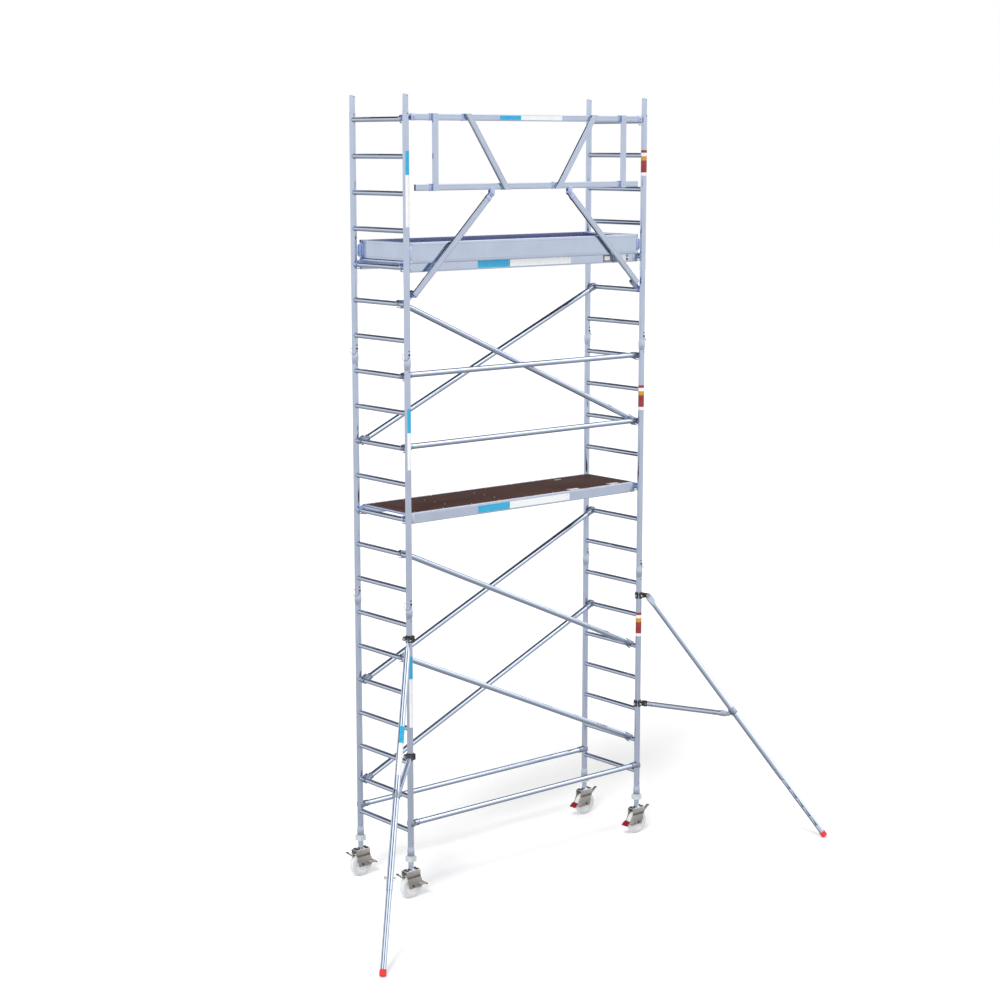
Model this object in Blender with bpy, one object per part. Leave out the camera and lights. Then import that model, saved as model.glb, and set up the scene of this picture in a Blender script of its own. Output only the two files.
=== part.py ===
"""Mobile tower scaffold with ladder frames, claw braces, trapdoor platforms and stabilisers.

Metres, +Z up, +X along the platforms, +Y from the front to the back. The origin is on the
floor, under the middle of the bounding box. The front stabilisers reach out along -Y, so
the tower itself stands behind the origin.
"""

import math

import bmesh
import bpy
from mathutils import Matrix, Vector

# Tower
BAY_LENGTH = 2.50
FRAME_WIDTH = 0.678
FIRST_RUNG_Z = 0.556
RUNG_PITCH = 0.280
RUNGS_PER_FRAME = 7
FRAME_LEVELS = ("lower", "middle", "upper")
HALF_LENGTH = BAY_LENGTH / 2
HALF_WIDTH = FRAME_WIDTH / 2
GAP = 0.0003

# Ladder frame tubes
UPRIGHT_R = 0.025
UPRIGHT_BORE_R = 0.0227
UPRIGHT_FOOT = 0.222
SWAGE_R = 0.0285
SWAGE_LENGTH = 0.063
SPIGOT_R = 0.0222
SPIGOT_TOP = 0.187
SPIGOT_PLUG = 0.090
RUNG_R = 0.020
UPRIGHT_SIDES = 12
RUNG_SIDES = 8

# Claws and braces
BRACE_R = 0.0225
BRACE_SIDES = 10
BRACE_LIFT = 0.012
BACK_BRACE_LIFT = -0.002
CLAW_GAP = 0.0006
CLAW_WALL = 0.0105
CLAW_WIDTH = 0.030
CLAW_ARC = math.radians(235)
CLAW_STEPS = 9
TUBE_STOP = 0.0025
BACK_BRACE_Y = 0.265
FRONT_DIAGONAL_Y = -0.243
FRONT_HORIZONTAL_Y = -0.289
BASE_BRACE_FRONT_Z = 0.615
BASE_BRACE_BACK_Z = 0.606
BASE_CLAW_WIDTH = 0.040

# Platforms
LOWER_PLATFORM_RUNG = 10
UPPER_PLATFORM_RUNG = 17
BEAM_Y = 0.305
BEAM_THICKNESS = 0.028
BEAM_BOTTOM = -0.040
DECK_TOP = 0.044
BEAM_END_X = 1.208
CROSS_MEMBER = 0.030
END_MEMBER_HEIGHT = 0.022
CROSS_MEMBER_X = (-0.720, -0.200)
DECK_THICKNESS = 0.012
HATCH_X = (0.440, 1.120)
HATCH_Y = (-0.256, 0.222)
HATCH_GAP = 0.003

# Toe boards
TOE_BOTTOM = 5.064
TOE_END_BOTTOM = 5.0815
TOE_TOP = 5.226
TOE_THICKNESS = 0.020
TOE_HALF_LENGTH = 1.205

# Guardrail and its struts
RAIL_HEIGHT = 0.050
RAIL_THICKNESS = 0.022
RAIL_Y = -0.345
TOP_RAIL_Z = 6.172
LOWER_RAIL_Z = 5.642
TOP_RAIL_HALF = 1.207
LOWER_RAIL_HALF = 1.170
POST_X = 0.987
DIAGONAL_TOP_X = 0.665
DIAGONAL_BOTTOM_X = 0.267
FACE_LAP = 0.002
RAIL_HOOK_Y = -0.297
RAIL_HOOK_WIDTH = 0.028
RAIL_ARM_X = 1.170
STRUT_PIVOT = (0.410, 5.585)
STRUT_WIDTH = 0.050
STRUT_THICKNESS = 0.022
STRUT_TUBE_END = 0.100
STRUT_RUNG = 16
STRUT_CLAW_ARC = math.radians(170)
STRUT_CLAW_Y = -0.297
PIVOT_PIN_R = 0.006
CHEEK = 0.004

# Stabilisers
STABILISER_BOOM = 0.077
STABILISER_TOP_Z = 2.131
STABILISER_SLOPE = math.radians(36.5)
STABILISER_TUBE_END_Z = 0.520
STABILISER_TUBE_R = 0.025
STABILISER_BORE_R = 0.0229
STABILISER_BORE_LENGTH = 1.300
STABILISER_LEG_R = 0.0222
STABILISER_LEG_INSIDE = 0.620
STABILISER_FOOT_R = 0.0265
STABILISER_FOOT_LENGTH = 0.046
STABILISER_FOOT_ROUND = 0.004
STABILISER_FOOT_Z = 0.0115
STABILISER_LOWER_Z = 1.171
STABILISER_EYE = (0.785, 1.090)
STABILISER_BRACE_R = 0.0215
CLAMP_BORE_R = 0.0258
CLAMP_R = 0.034
CLAMP_HEIGHT = 0.060
CLAMP_SIDES = 16
TONGUE = 0.010
CLAMP_CHEEK = 0.006
EYE_R = 0.016
COLLAR_R = 0.031
COLLAR_LENGTH = 0.060

# Adjustable legs and castors
WHEEL_R = 0.100
WHEEL_WIDTH = 0.050
WHEEL_SIDES = 24
HUB_R = 0.030
RIM_ROUND = 0.006
AXLE_R = 0.006
AXLE_BORE_R = 0.0066
SPINDLE_R = 0.021
SPINDLE_LENGTH = 0.500
FORK_TOP = 0.230
FORK_PLATE = 0.006
FORK_X = (-0.072, 0.070)
FORK_STEP_Z = 0.176
FORK_BOTTOM = 0.080
FORK_SHEET = 0.004
FORK_INNER = 0.028
STEM_R = 0.008
STEM_BORE_R = 0.0088
NUT_BOTTOM = 0.300
NUT_TOP = 0.350
NUT_BORE_R = 0.0218
NUT_CUP_R = 0.0295
NUT_R = 0.034
NUT_EAR_REACH = 0.043
NUT_EAR_WIDTH = 0.016
NUT_EAR_ANGLES = (50, 140, 230, 320)
PEDAL_PIVOT = (0.052, 0.107)
PEDAL_PAD = ((0.105, 0.119), (0.147, 0.092), (0.142, 0.080), (0.108, 0.100))
PEDAL_ARM_Y = 0.0328
PEDAL_ARM = 0.003
PEDAL_EYE_R = 0.012
PEDAL_STUD_R = 0.005

# The tower stands behind the origin, halfway between the stabiliser feet and the nuts' ears.
FOOT_RADIAL = STABILISER_BOOM + (STABILISER_TOP_Z - STABILISER_FOOT_Z) * math.tan(STABILISER_SLOPE)
FOOT_SIDE = STABILISER_FOOT_R * math.sqrt((1 + math.cos(STABILISER_SLOPE) ** 2) / 2)
FOOT_EDGE = FOOT_RADIAL - STABILISER_FOOT_ROUND * math.sin(STABILISER_SLOPE)
FRONT_REACH = HALF_WIDTH + FOOT_EDGE * math.cos(math.radians(45)) + FOOT_SIDE
EAR_TURN = math.radians(NUT_EAR_ANGLES[0])
EAR_SIDE = NUT_EAR_REACH * math.sin(EAR_TURN) + NUT_EAR_WIDTH / 2 * math.cos(EAR_TURN)
BACK_REACH = HALF_WIDTH + EAR_SIDE
TOWER_Y = (FRONT_REACH - BACK_REACH) / 2

SIDES = {"left": -1, "right": 1}
DEPTHS = {"front": -1, "back": 1}


def rung_z(number):
    """Height of a rung's axis, counting from 1 at the bottom."""
    return FIRST_RUNG_Z + (number - 1) * RUNG_PITCH


# ---------------------------------------------------------------- shape building


def clear_scene():
    for obj in list(bpy.data.objects):
        bpy.data.objects.remove(obj, do_unlink=True)


def make_material(name, colour, roughness, metallic=0.0):
    material = bpy.data.materials.new(name)
    material.use_nodes = True
    shader = material.node_tree.nodes["Principled BSDF"]
    shader.inputs["Base Color"].default_value = (*colour, 1.0)
    shader.inputs["Roughness"].default_value = roughness
    shader.inputs["Metallic"].default_value = metallic
    return material


def join_rings(bm, low, high):
    """Faces between two rings of vertices, either of which may be a single point."""
    count = max(len(low), len(high))
    for i in range(count):
        j = (i + 1) % count
        if len(low) == 1:
            bm.faces.new((low[0], high[j], high[i]))
        elif len(high) == 1:
            bm.faces.new((low[i], low[j], high[0]))
        else:
            bm.faces.new((low[i], low[j], high[j], high[i]))


def turned(profile, sides, ring=False):
    """A solid turned about Z from (radius, height) points, with flats across the axes.

    With ring set, the profile is a closed section that stays clear of the axis.
    """
    bm = bmesh.new()
    angles = [math.tau * (i + 0.5) / sides for i in range(sides)]
    rings = []
    for radius, height in profile:
        if radius == 0:
            rings.append([bm.verts.new((0, 0, height))])
            continue
        points = [(radius * math.cos(a), radius * math.sin(a), height) for a in angles]
        rings.append([bm.verts.new(point) for point in points])
    for low, high in zip(rings, rings[1:]):
        join_rings(bm, low, high)
    if ring:
        join_rings(bm, rings[-1], rings[0])
    bmesh.ops.recalc_face_normals(bm, faces=bm.faces)
    return bm


def rod(radius, low, high, sides):
    """A plain round bar along Z."""
    return turned([(0, low), (radius, low), (radius, high), (0, high)], sides)


def hollow_ring(inner, outer, low, high, sides):
    return turned([(inner, low), (outer, low), (outer, high), (inner, high)], sides, ring=True)


def block(low, high):
    """A box from its lowest to its highest corner."""
    bm = bmesh.new()
    bmesh.ops.create_cube(bm, size=1)
    low = Vector(low)
    high = Vector(high)
    size = high - low
    bmesh.ops.transform(bm, matrix=Matrix.Diagonal((*size, 1)), verts=bm.verts)
    bmesh.ops.translate(bm, vec=(low + high) / 2, verts=bm.verts)
    return bm


def plate(outline, low, high):
    """A flat plate with an outline in X and Z, from low to high in Y."""
    bm = bmesh.new()
    near = [bm.verts.new((x, low, z)) for x, z in outline]
    far = [bm.verts.new((x, high, z)) for x, z in outline]
    bm.faces.new(near)
    bm.faces.new(far)
    join_rings(bm, near, far)
    bmesh.ops.recalc_face_normals(bm, faces=bm.faces)
    return bm


def moved(bm, matrix):
    bm.transform(matrix)
    return bm


def shifted(bm, x=0, y=0, z=0):
    return moved(bm, Matrix.Translation((x, y, z)))


def along(start, end, up=(0, 0, 1)):
    """The frame whose Z runs from start to end and whose X leans towards up."""
    z_axis = (Vector(end) - Vector(start)).normalized()
    y_axis = z_axis.cross(Vector(up)).normalized()
    x_axis = y_axis.cross(z_axis)
    turn = Matrix((x_axis, y_axis, z_axis)).transposed().to_4x4()
    return Matrix.Translation(start) @ turn


def tube_between(start, end, radius, sides):
    length = (Vector(end) - Vector(start)).length
    return moved(rod(radius, 0, length, sides), along(start, end))


def arc_points(centre, radius, start, end, steps):
    return [
        (
            centre[0] + radius * math.cos(start + (end - start) * i / steps),
            centre[1] + radius * math.sin(start + (end - start) * i / steps),
        )
        for i in range(steps + 1)
    ]


def claw(centre, held_r, width, arc, facing):
    """A hook round a bar along Y: an arc of ring whose back is turned to the facing angle."""
    inner = (held_r + CLAW_GAP) / math.cos(arc / CLAW_STEPS / 2)
    start = facing - arc / 2
    end = facing + arc / 2
    inside = arc_points(centre, inner, start, end, CLAW_STEPS)
    outside = arc_points(centre, inner + CLAW_WALL, end, start, CLAW_STEPS)
    return plate(inside + outside, -width / 2, width / 2)


def mesh_from(name, bm):
    mesh = bpy.data.meshes.new(name)
    bm.to_mesh(mesh)
    bm.free()
    return mesh


def combined(name, solids, cuts=()):
    """One closed mesh: the solids joined into one body, less the cuts."""
    made = [bpy.data.objects.new(name, mesh_from(name, bm)) for bm in (*solids, *cuts)]
    for obj in made:
        bpy.context.scene.collection.objects.link(obj)
    base = made[0]
    for index, other in enumerate(made[1:], start=1):
        modifier = base.modifiers.new("join", "BOOLEAN")
        modifier.operation = "UNION" if index < len(solids) else "DIFFERENCE"
        modifier.solver = "EXACT"
        modifier.object = other
    graph = bpy.context.evaluated_depsgraph_get()
    result = bpy.data.meshes.new_from_object(base.evaluated_get(graph))
    result.name = name
    for obj in made:
        mesh = obj.data
        bpy.data.objects.remove(obj)
        bpy.data.meshes.remove(mesh)
    return result


def place(name, mesh, material, parent, location=(0, 0, 0), turn=0.0):
    """Adds a sub-part to the scene, smooth across its gentle edges only."""
    if isinstance(mesh, bmesh.types.BMesh):
        mesh = mesh_from(name, mesh)
    mesh.shade_smooth()
    mesh.set_sharp_from_angle(angle=math.radians(40))
    if not mesh.materials:
        mesh.materials.append(material)
    obj = bpy.data.objects.new(name, mesh)
    bpy.context.scene.collection.objects.link(obj)
    obj.parent = parent
    obj.location = location
    obj.rotation_euler = (0, 0, turn)
    return obj


# ---------------------------------------------------------------- ladder frames


def frame_mesh():
    """A ladder frame about its bottom rung: swaged feet, seven rungs, spigots on top."""
    top_rung = (RUNGS_PER_FRAME - 1) * RUNG_PITCH
    foot = -UPRIGHT_FOOT
    shoulder = RUNGS_PER_FRAME * RUNG_PITCH - UPRIGHT_FOOT - GAP
    spigot_end = top_rung + SPIGOT_TOP
    profile = [
        (0, foot),
        (UPRIGHT_R + 0.001, foot),
        (SWAGE_R, foot + SWAGE_LENGTH * 0.35),
        (SWAGE_R, foot + SWAGE_LENGTH * 0.70),
        (UPRIGHT_R, foot + SWAGE_LENGTH),
        (UPRIGHT_R, shoulder),
        (SPIGOT_R, shoulder),
        (SPIGOT_R, spigot_end - 0.006),
        (SPIGOT_R - 0.003, spigot_end),
        (0, spigot_end),
    ]
    solids = []
    cuts = []
    for side in (-1, 1):
        solids.append(shifted(turned(profile, UPRIGHT_SIDES), y=side * HALF_WIDTH))
        bore = rod(UPRIGHT_BORE_R, foot - 0.01, shoulder - SPIGOT_PLUG, UPRIGHT_SIDES)
        cuts.append(shifted(bore, y=side * HALF_WIDTH))
    for number in range(RUNGS_PER_FRAME):
        height = number * RUNG_PITCH
        start = (0, -HALF_WIDTH, height)
        end = (0, HALF_WIDTH, height)
        solids.append(tube_between(start, end, RUNG_R, RUNG_SIDES))
    return combined("ladder_frame", solids, cuts)


def add_frames(aluminium, parent):
    mesh = frame_mesh()
    for side, sign in SIDES.items():
        for index, level in enumerate(FRAME_LEVELS):
            height = rung_z(1 + index * RUNGS_PER_FRAME)
            location = (sign * HALF_LENGTH, 0, height)
            place(f"{side}_frame_{level}", mesh, aluminium, parent, location)


# ---------------------------------------------------------------- braces


def brace_mesh(name, rise, lift):
    """A tube with a claw at each end, between two rungs a bay apart, rising towards +X."""
    start = Vector((-HALF_LENGTH, 0, -rise / 2))
    end = Vector((HALF_LENGTH, 0, rise / 2))
    direction = (end - start).normalized()
    normal = Vector((-direction.z, 0, direction.x))
    stop = RUNG_R + TUBE_STOP
    tube_start = start + normal * lift + direction * stop
    tube_end = end + normal * lift - direction * stop
    solids = [tube_between(tube_start, tube_end, BRACE_R, BRACE_SIDES)]
    for point in (start, end):
        solids.append(claw((point.x, point.z), RUNG_R, CLAW_WIDTH, CLAW_ARC, math.radians(90)))
    return combined(name, solids)


def base_brace_mesh():
    """A level tube with a claw at each end that opens outwards round an upright."""
    stop = HALF_LENGTH - UPRIGHT_R - TUBE_STOP
    solids = [tube_between((-stop, 0, 0), (stop, 0, 0), BRACE_R, BRACE_SIDES)]
    upright = Matrix.Rotation(math.radians(90), 4, "X")
    for sign in (-1, 1):
        facing = math.radians(90 + 90 * sign)
        hook = claw((0, 0), UPRIGHT_R, BASE_CLAW_WIDTH, CLAW_ARC, facing)
        solids.append(shifted(moved(hook, upright), x=sign * HALF_LENGTH))
    return combined("base_brace", solids)


def add_braces(aluminium, parent):
    back_diagonal = brace_mesh("back_brace", 4 * RUNG_PITCH, BACK_BRACE_LIFT)
    front_diagonal = brace_mesh("front_brace", 4 * RUNG_PITCH, BRACE_LIFT)
    level = brace_mesh("level_brace", 0, BRACE_LIFT)
    base = base_brace_mesh()
    half_turn = math.radians(180)
    lowest_rungs = {"lower": 2, "middle": 5, "upper": 12}
    for name, rung in lowest_rungs.items():
        height = rung_z(rung + 2)
        back = (0, BACK_BRACE_Y, height)
        front = (0, FRONT_DIAGONAL_Y, height)
        place(f"back_diagonal_{name}", back_diagonal, aluminium, parent, back)
        place(f"front_diagonal_{name}", front_diagonal, aluminium, parent, front, half_turn)
    for name, rung in {"lower": 12, "upper": 14}.items():
        location = (0, FRONT_HORIZONTAL_Y, rung_z(rung))
        place(f"front_horizontal_{name}", level, aluminium, parent, location)
    front = (0, -HALF_WIDTH, BASE_BRACE_FRONT_Z)
    back = (0, HALF_WIDTH, BASE_BRACE_BACK_Z)
    place("base_horizontal_front", base, aluminium, parent, front)
    place("base_horizontal_back", base, aluminium, parent, back)


# ---------------------------------------------------------------- platforms


def platform_frame_mesh():
    """Side beams and cross members about the rungs' height, with a hook at each corner."""
    inner = BEAM_Y - BEAM_THICKNESS
    solids = []
    for sign in (-1, 1):
        near, far = sorted((sign * inner, sign * BEAM_Y))
        solids.append(block((-BEAM_END_X, near, BEAM_BOTTOM), (BEAM_END_X, far, DECK_TOP)))
    ledge_top = DECK_TOP - DECK_THICKNESS - GAP
    lap = 0.004
    for low_x in (-BEAM_END_X, BEAM_END_X - CROSS_MEMBER):
        low = (low_x, -inner - lap, DECK_TOP - END_MEMBER_HEIGHT)
        high = (low_x + CROSS_MEMBER, inner + lap, DECK_TOP - lap / 4)
        solids.append(block(low, high))
    for middle in (*CROSS_MEMBER_X, *HATCH_X):
        low = (middle - CROSS_MEMBER / 2, -inner - lap, BEAM_BOTTOM + lap)
        high = (middle + CROSS_MEMBER / 2, inner + lap, ledge_top)
        solids.append(block(low, high))
    stop = RUNG_R + TUBE_STOP
    for end in (-1, 1):
        facing = math.radians(90)
        for sign in (-1, 1):
            hook = claw((end * HALF_LENGTH, 0), RUNG_R, BEAM_THICKNESS, CLAW_ARC, facing)
            arm_near, arm_far = sorted((end * (BEAM_END_X - 0.02), end * (HALF_LENGTH - stop)))
            half = BEAM_THICKNESS / 2
            arm = block((arm_near, -half, -RUNG_R), (arm_far, half, RUNG_R + CLAW_WALL))
            middle = sign * (BEAM_Y - half)
            solids.append(shifted(hook, y=middle))
            solids.append(shifted(arm, y=middle))
    return combined("platform_frame", solids)


def deck_mesh():
    """The deck board with its hatch opening."""
    half_x = BEAM_END_X - CROSS_MEMBER - GAP
    half_y = BEAM_Y - BEAM_THICKNESS - GAP
    bottom = DECK_TOP - DECK_THICKNESS
    board = block((-half_x, -half_y, bottom), (half_x, half_y, DECK_TOP))
    opening = block(
        (HATCH_X[0] - HATCH_GAP, HATCH_Y[0] - HATCH_GAP, bottom - 0.01),
        (HATCH_X[1] + HATCH_GAP, HATCH_Y[1] + HATCH_GAP, DECK_TOP + 0.01),
    )
    return combined("deck_board", [board], [opening])


def hatch_mesh():
    """The trapdoor about its hinge line, which lies along the top of its front edge."""
    size_x = HATCH_X[1] - HATCH_X[0]
    size_y = HATCH_Y[1] - HATCH_Y[0]
    return block((-size_x / 2, 0, -DECK_THICKNESS), (size_x / 2, size_y, 0))


def add_platforms(aluminium, board, parent):
    frame = platform_frame_mesh()
    deck = deck_mesh()
    hatch = mesh_from("hatch", hatch_mesh())
    for name, rung in {"lower": LOWER_PLATFORM_RUNG, "upper": UPPER_PLATFORM_RUNG}.items():
        height = rung_z(rung)
        place(f"{name}_platform_frame", frame, aluminium, parent, (0, 0, height))
        place(f"{name}_platform_deck", deck, board, parent, (0, 0, height))
        hinge = (sum(HATCH_X) / 2, HATCH_Y[0], height + DECK_TOP)
        place(f"{name}_hatch", hatch, board, parent, hinge)


# ---------------------------------------------------------------- toe boards


def add_toe_boards(aluminium, parent):
    inner = BEAM_Y + GAP
    outer = inner + TOE_THICKNESS
    for name, sign in DEPTHS.items():
        near, far = sorted((sign * inner, sign * outer))
        board = block((-TOE_HALF_LENGTH, near, TOE_BOTTOM), (TOE_HALF_LENGTH, far, TOE_TOP))
        place(f"toe_board_{name}", board, aluminium, parent)
    for name, sign in SIDES.items():
        near, far = sorted((sign * (TOE_HALF_LENGTH - TOE_THICKNESS), sign * TOE_HALF_LENGTH))
        board = block((near, -inner + GAP, TOE_END_BOTTOM), (far, inner - GAP, TOE_TOP))
        place(f"toe_board_{name}", board, aluminium, parent)


# ---------------------------------------------------------------- guardrail


def rail_hook(sign):
    """The arm at a rail's end that reaches back and hooks over the top rung."""
    rung = (sign * HALF_LENGTH, rung_z(RUNGS_PER_FRAME * len(FRAME_LEVELS)))
    stop = RUNG_R + TUBE_STOP
    hook = claw(rung, RUNG_R, RAIL_HOOK_WIDTH, CLAW_ARC, math.radians(90))
    near, far = sorted((sign * (RAIL_ARM_X + 0.010), sign * (HALF_LENGTH - stop)))
    back = RAIL_HOOK_Y + RAIL_HOOK_WIDTH / 2
    front = RAIL_HOOK_Y - RAIL_HOOK_WIDTH / 2
    low_z = TOP_RAIL_Z - RAIL_HEIGHT / 2 + 0.005
    high_z = TOP_RAIL_Z + RAIL_HEIGHT / 2 - 0.012
    arm = block((near, front, low_z), (far, back, high_z))
    step_near, step_far = sorted((sign * RAIL_ARM_X, sign * (TOP_RAIL_HALF - 0.003)))
    step = block((step_near, RAIL_Y, low_z + 0.002), (step_far, back - 0.002, high_z - 0.002))
    return [shifted(hook, y=RAIL_HOOK_Y), arm, step]


def guardrail_mesh():
    """Two rails joined by posts and diagonals on their front face, with strut brackets."""
    half_y = RAIL_THICKNESS / 2
    half_z = RAIL_HEIGHT / 2
    front = RAIL_Y - half_y
    back = RAIL_Y + half_y
    solids = []
    for height, half in ((TOP_RAIL_Z, TOP_RAIL_HALF), (LOWER_RAIL_Z, LOWER_RAIL_HALF)):
        solids.append(block((-half, front, height - half_z), (half, back, height + half_z)))
    bottom = LOWER_RAIL_Z - half_z - FACE_LAP
    top = TOP_RAIL_Z + half_z + FACE_LAP
    near = front - RAIL_THICKNESS
    for sign in (-1, 1):
        post_low = (sign * POST_X - half_z, near, bottom)
        post_high = (sign * POST_X + half_z, front + FACE_LAP, top)
        solids.append(block(post_low, post_high))
        lean = math.atan2(DIAGONAL_TOP_X - DIAGONAL_BOTTOM_X, top - bottom)
        half_cut = half_z / math.cos(lean)
        outline = [
            (sign * DIAGONAL_BOTTOM_X - half_cut, bottom),
            (sign * DIAGONAL_BOTTOM_X + half_cut, bottom),
            (sign * DIAGONAL_TOP_X + half_cut, top),
            (sign * DIAGONAL_TOP_X - half_cut, top),
        ]
        solids.append(plate(outline, near + 0.0005, front + FACE_LAP))
        solids.extend(rail_hook(sign))
        solids.extend(strut_bracket(sign))
    return combined("guardrail", solids)


def strut_bracket(sign):
    """Two cheeks under the lower rail, with the pin that the strut turns on."""
    x, z = STRUT_PIVOT
    half = STRUT_THICKNESS / 2 + GAP * 2
    solids = []
    for side in (-1, 1):
        near, far = sorted((side * half, side * (half + CHEEK)))
        low = (sign * x - 0.022, RAIL_Y + near, z - 0.020)
        high = (sign * x + 0.022, RAIL_Y + far, LOWER_RAIL_Z - RAIL_HEIGHT / 2 + 0.012)
        solids.append(block(low, high))
    reach = half + CHEEK + 0.003
    bridge_low = (sign * x - 0.021, RAIL_Y - half - 0.002, LOWER_RAIL_Z - RAIL_HEIGHT / 2 - 0.003)
    bridge_high = (sign * x + 0.021, RAIL_Y + half + 0.002, LOWER_RAIL_Z - 0.010)
    solids.append(block(bridge_low, bridge_high))
    start = (sign * x, RAIL_Y - reach, z)
    end = (sign * x, RAIL_Y + reach, z)
    solids.append(tube_between(start, end, PIVOT_PIN_R, RUNG_SIDES))
    return solids


def strut_mesh():
    """A strut about its pivot, built along -Z, with its claw set back towards the rungs."""
    pivot_x, pivot_z = STRUT_PIVOT
    reach = math.hypot(HALF_LENGTH - pivot_x, pivot_z - rung_z(STRUT_RUNG))
    half = STRUT_WIDTH / 2
    half_y = STRUT_THICKNESS / 2
    end = reach - STRUT_TUBE_END
    round_end = arc_points((0, 0), half, 0, math.pi, 8)
    outline = [*round_end, (-half, -end), (half, -end)]
    claw_y = STRUT_CLAW_Y - RAIL_Y
    low_y = claw_y - RAIL_HOOK_WIDTH / 2
    high_y = claw_y + RAIL_HOOK_WIDTH / 2
    neck = block((-0.018, low_y, -reach + RUNG_R + TUBE_STOP), (0.018, high_y, -end + 0.030))
    step = block((-0.019, -half_y + 0.001, -end - 0.004), (0.019, high_y - 0.001, -end + 0.028))
    hook = claw((0, -reach), RUNG_R, RAIL_HOOK_WIDTH, STRUT_CLAW_ARC, math.radians(90))
    pin_hole = tube_between((0, -half_y - 0.01, 0), (0, half_y + 0.01, 0), PIVOT_PIN_R + 0.0007, 12)
    solids = [plate(outline, -half_y, half_y), neck, step, shifted(hook, y=claw_y)]
    return combined("guardrail_strut", solids, [pin_hole])


def add_guardrail(aluminium, parent):
    place("guardrail_frame", guardrail_mesh(), aluminium, parent)
    pivot_x, pivot_z = STRUT_PIVOT
    lean = math.atan2(HALF_LENGTH - pivot_x, pivot_z - rung_z(STRUT_RUNG))
    for name, sign in SIDES.items():
        mesh = strut_mesh()
        mesh.transform(Matrix.Rotation(-sign * lean, 4, "Y"))
        location = (sign * pivot_x, RAIL_Y, pivot_z)
        place(f"{name}_guardrail_strut", mesh, aluminium, parent, location)


# ---------------------------------------------------------------- stabilisers
# Each is built in the plane of local X (outwards) and Z, about the front upright's axis.


def on_tube(distance):
    """A point on the stabiliser tube's axis, this far down it from the pivot bolt."""
    return Vector((
        STABILISER_BOOM + distance * math.sin(STABILISER_SLOPE),
        0,
        STABILISER_TOP_Z - distance * math.cos(STABILISER_SLOPE),
    ))


def distance_at(height):
    return (STABILISER_TOP_Z - height) / math.cos(STABILISER_SLOPE)


def on_tube_frame():
    """Local Z down the stabiliser tube from the pivot bolt."""
    return along(on_tube(0), on_tube(1), up=(1, 0, 0))


def bolt_along_y(point, half_length, radius, sides=RUNG_SIDES):
    x, z = point
    return tube_between((x, -half_length, z), (x, half_length, z), radius, sides)


def tongue(start, end):
    """A flat eye-ended tongue between two points of the stabiliser's plane."""
    start = Vector(start)
    end = Vector(end)
    angle = math.atan2(end.y - start.y, end.x - start.x)
    half_turn = math.pi / 2
    outline = arc_points(start, EYE_R, angle + half_turn, angle + 3 * half_turn, 6)
    side = Vector((math.sin(angle), -math.cos(angle))) * EYE_R
    outline += [tuple(end + side), tuple(end - side)]
    return plate(outline, -TONGUE / 2, TONGUE / 2)


def stabiliser_tube_mesh():
    length = distance_at(STABILISER_TUBE_END_Z)
    frame = on_tube_frame()
    tube = moved(rod(STABILISER_TUBE_R, 0.036, length, UPRIGHT_SIDES), frame)
    start = on_tube(0)
    end = on_tube(0.060)
    eye = Vector(STABILISER_EYE)
    eye_distance = distance_at(STABILISER_EYE[1])
    foot_of_eye = eye_distance - (on_tube(eye_distance).x - eye.x) * math.sin(STABILISER_SLOPE)
    low = foot_of_eye - COLLAR_LENGTH / 2
    collar = moved(rod(COLLAR_R, low, low + COLLAR_LENGTH, UPRIGHT_SIDES), frame)
    base = on_tube(foot_of_eye)
    solids = [tube, tongue((start.x, start.z), (end.x, end.z)), collar]
    for side in (-1, 1):
        ear = tongue(STABILISER_EYE, (base.x, base.z))
        offset = side * (TONGUE + GAP + 0.0002)
        solids.append(shifted(ear, y=offset))
    solids.append(bolt_along_y(STABILISER_EYE, TONGUE * 1.5 + 0.004, PIVOT_PIN_R))
    bolt_hole = bolt_along_y((start.x, start.z), TONGUE, PIVOT_PIN_R + 0.0007, 12)
    bore_start = length - STABILISER_BORE_LENGTH
    bore = moved(rod(STABILISER_BORE_R, bore_start, length + 0.01, UPRIGHT_SIDES), frame)
    return combined("stabiliser_tube", solids, [bolt_hole, bore])


def stabiliser_leg_mesh():
    frame = on_tube_frame()
    start = distance_at(STABILISER_TUBE_END_Z) - STABILISER_LEG_INSIDE
    end = distance_at(STABILISER_FOOT_Z) - STABILISER_FOOT_LENGTH * 0.55
    return moved(rod(STABILISER_LEG_R, start, end, UPRIGHT_SIDES), frame)


def stabiliser_foot_mesh():
    """A short rubber cap on the leg's end, its lowest edge cut level to stand on the floor."""
    end = distance_at(STABILISER_FOOT_Z)
    leg_end = end - STABILISER_FOOT_LENGTH * 0.55
    top = end - STABILISER_FOOT_LENGTH
    bore = STABILISER_LEG_R + 0.0008
    edge = STABILISER_FOOT_ROUND
    profile = [
        (0, leg_end + GAP),
        (bore, leg_end + GAP),
        (bore, top),
        (STABILISER_FOOT_R - edge / 2, top),
        (STABILISER_FOOT_R, top + edge / 2),
        (STABILISER_FOOT_R, end - edge),
        (STABILISER_FOOT_R - edge, end),
        (0, end),
    ]
    boot = moved(turned(profile, UPRIGHT_SIDES), on_tube_frame())
    reach = on_tube(end).x
    floor = block((reach - 0.2, -0.1, -0.1), (reach + 0.2, 0.1, 0))
    return combined("stabiliser_foot", [boot], [floor])


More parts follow.
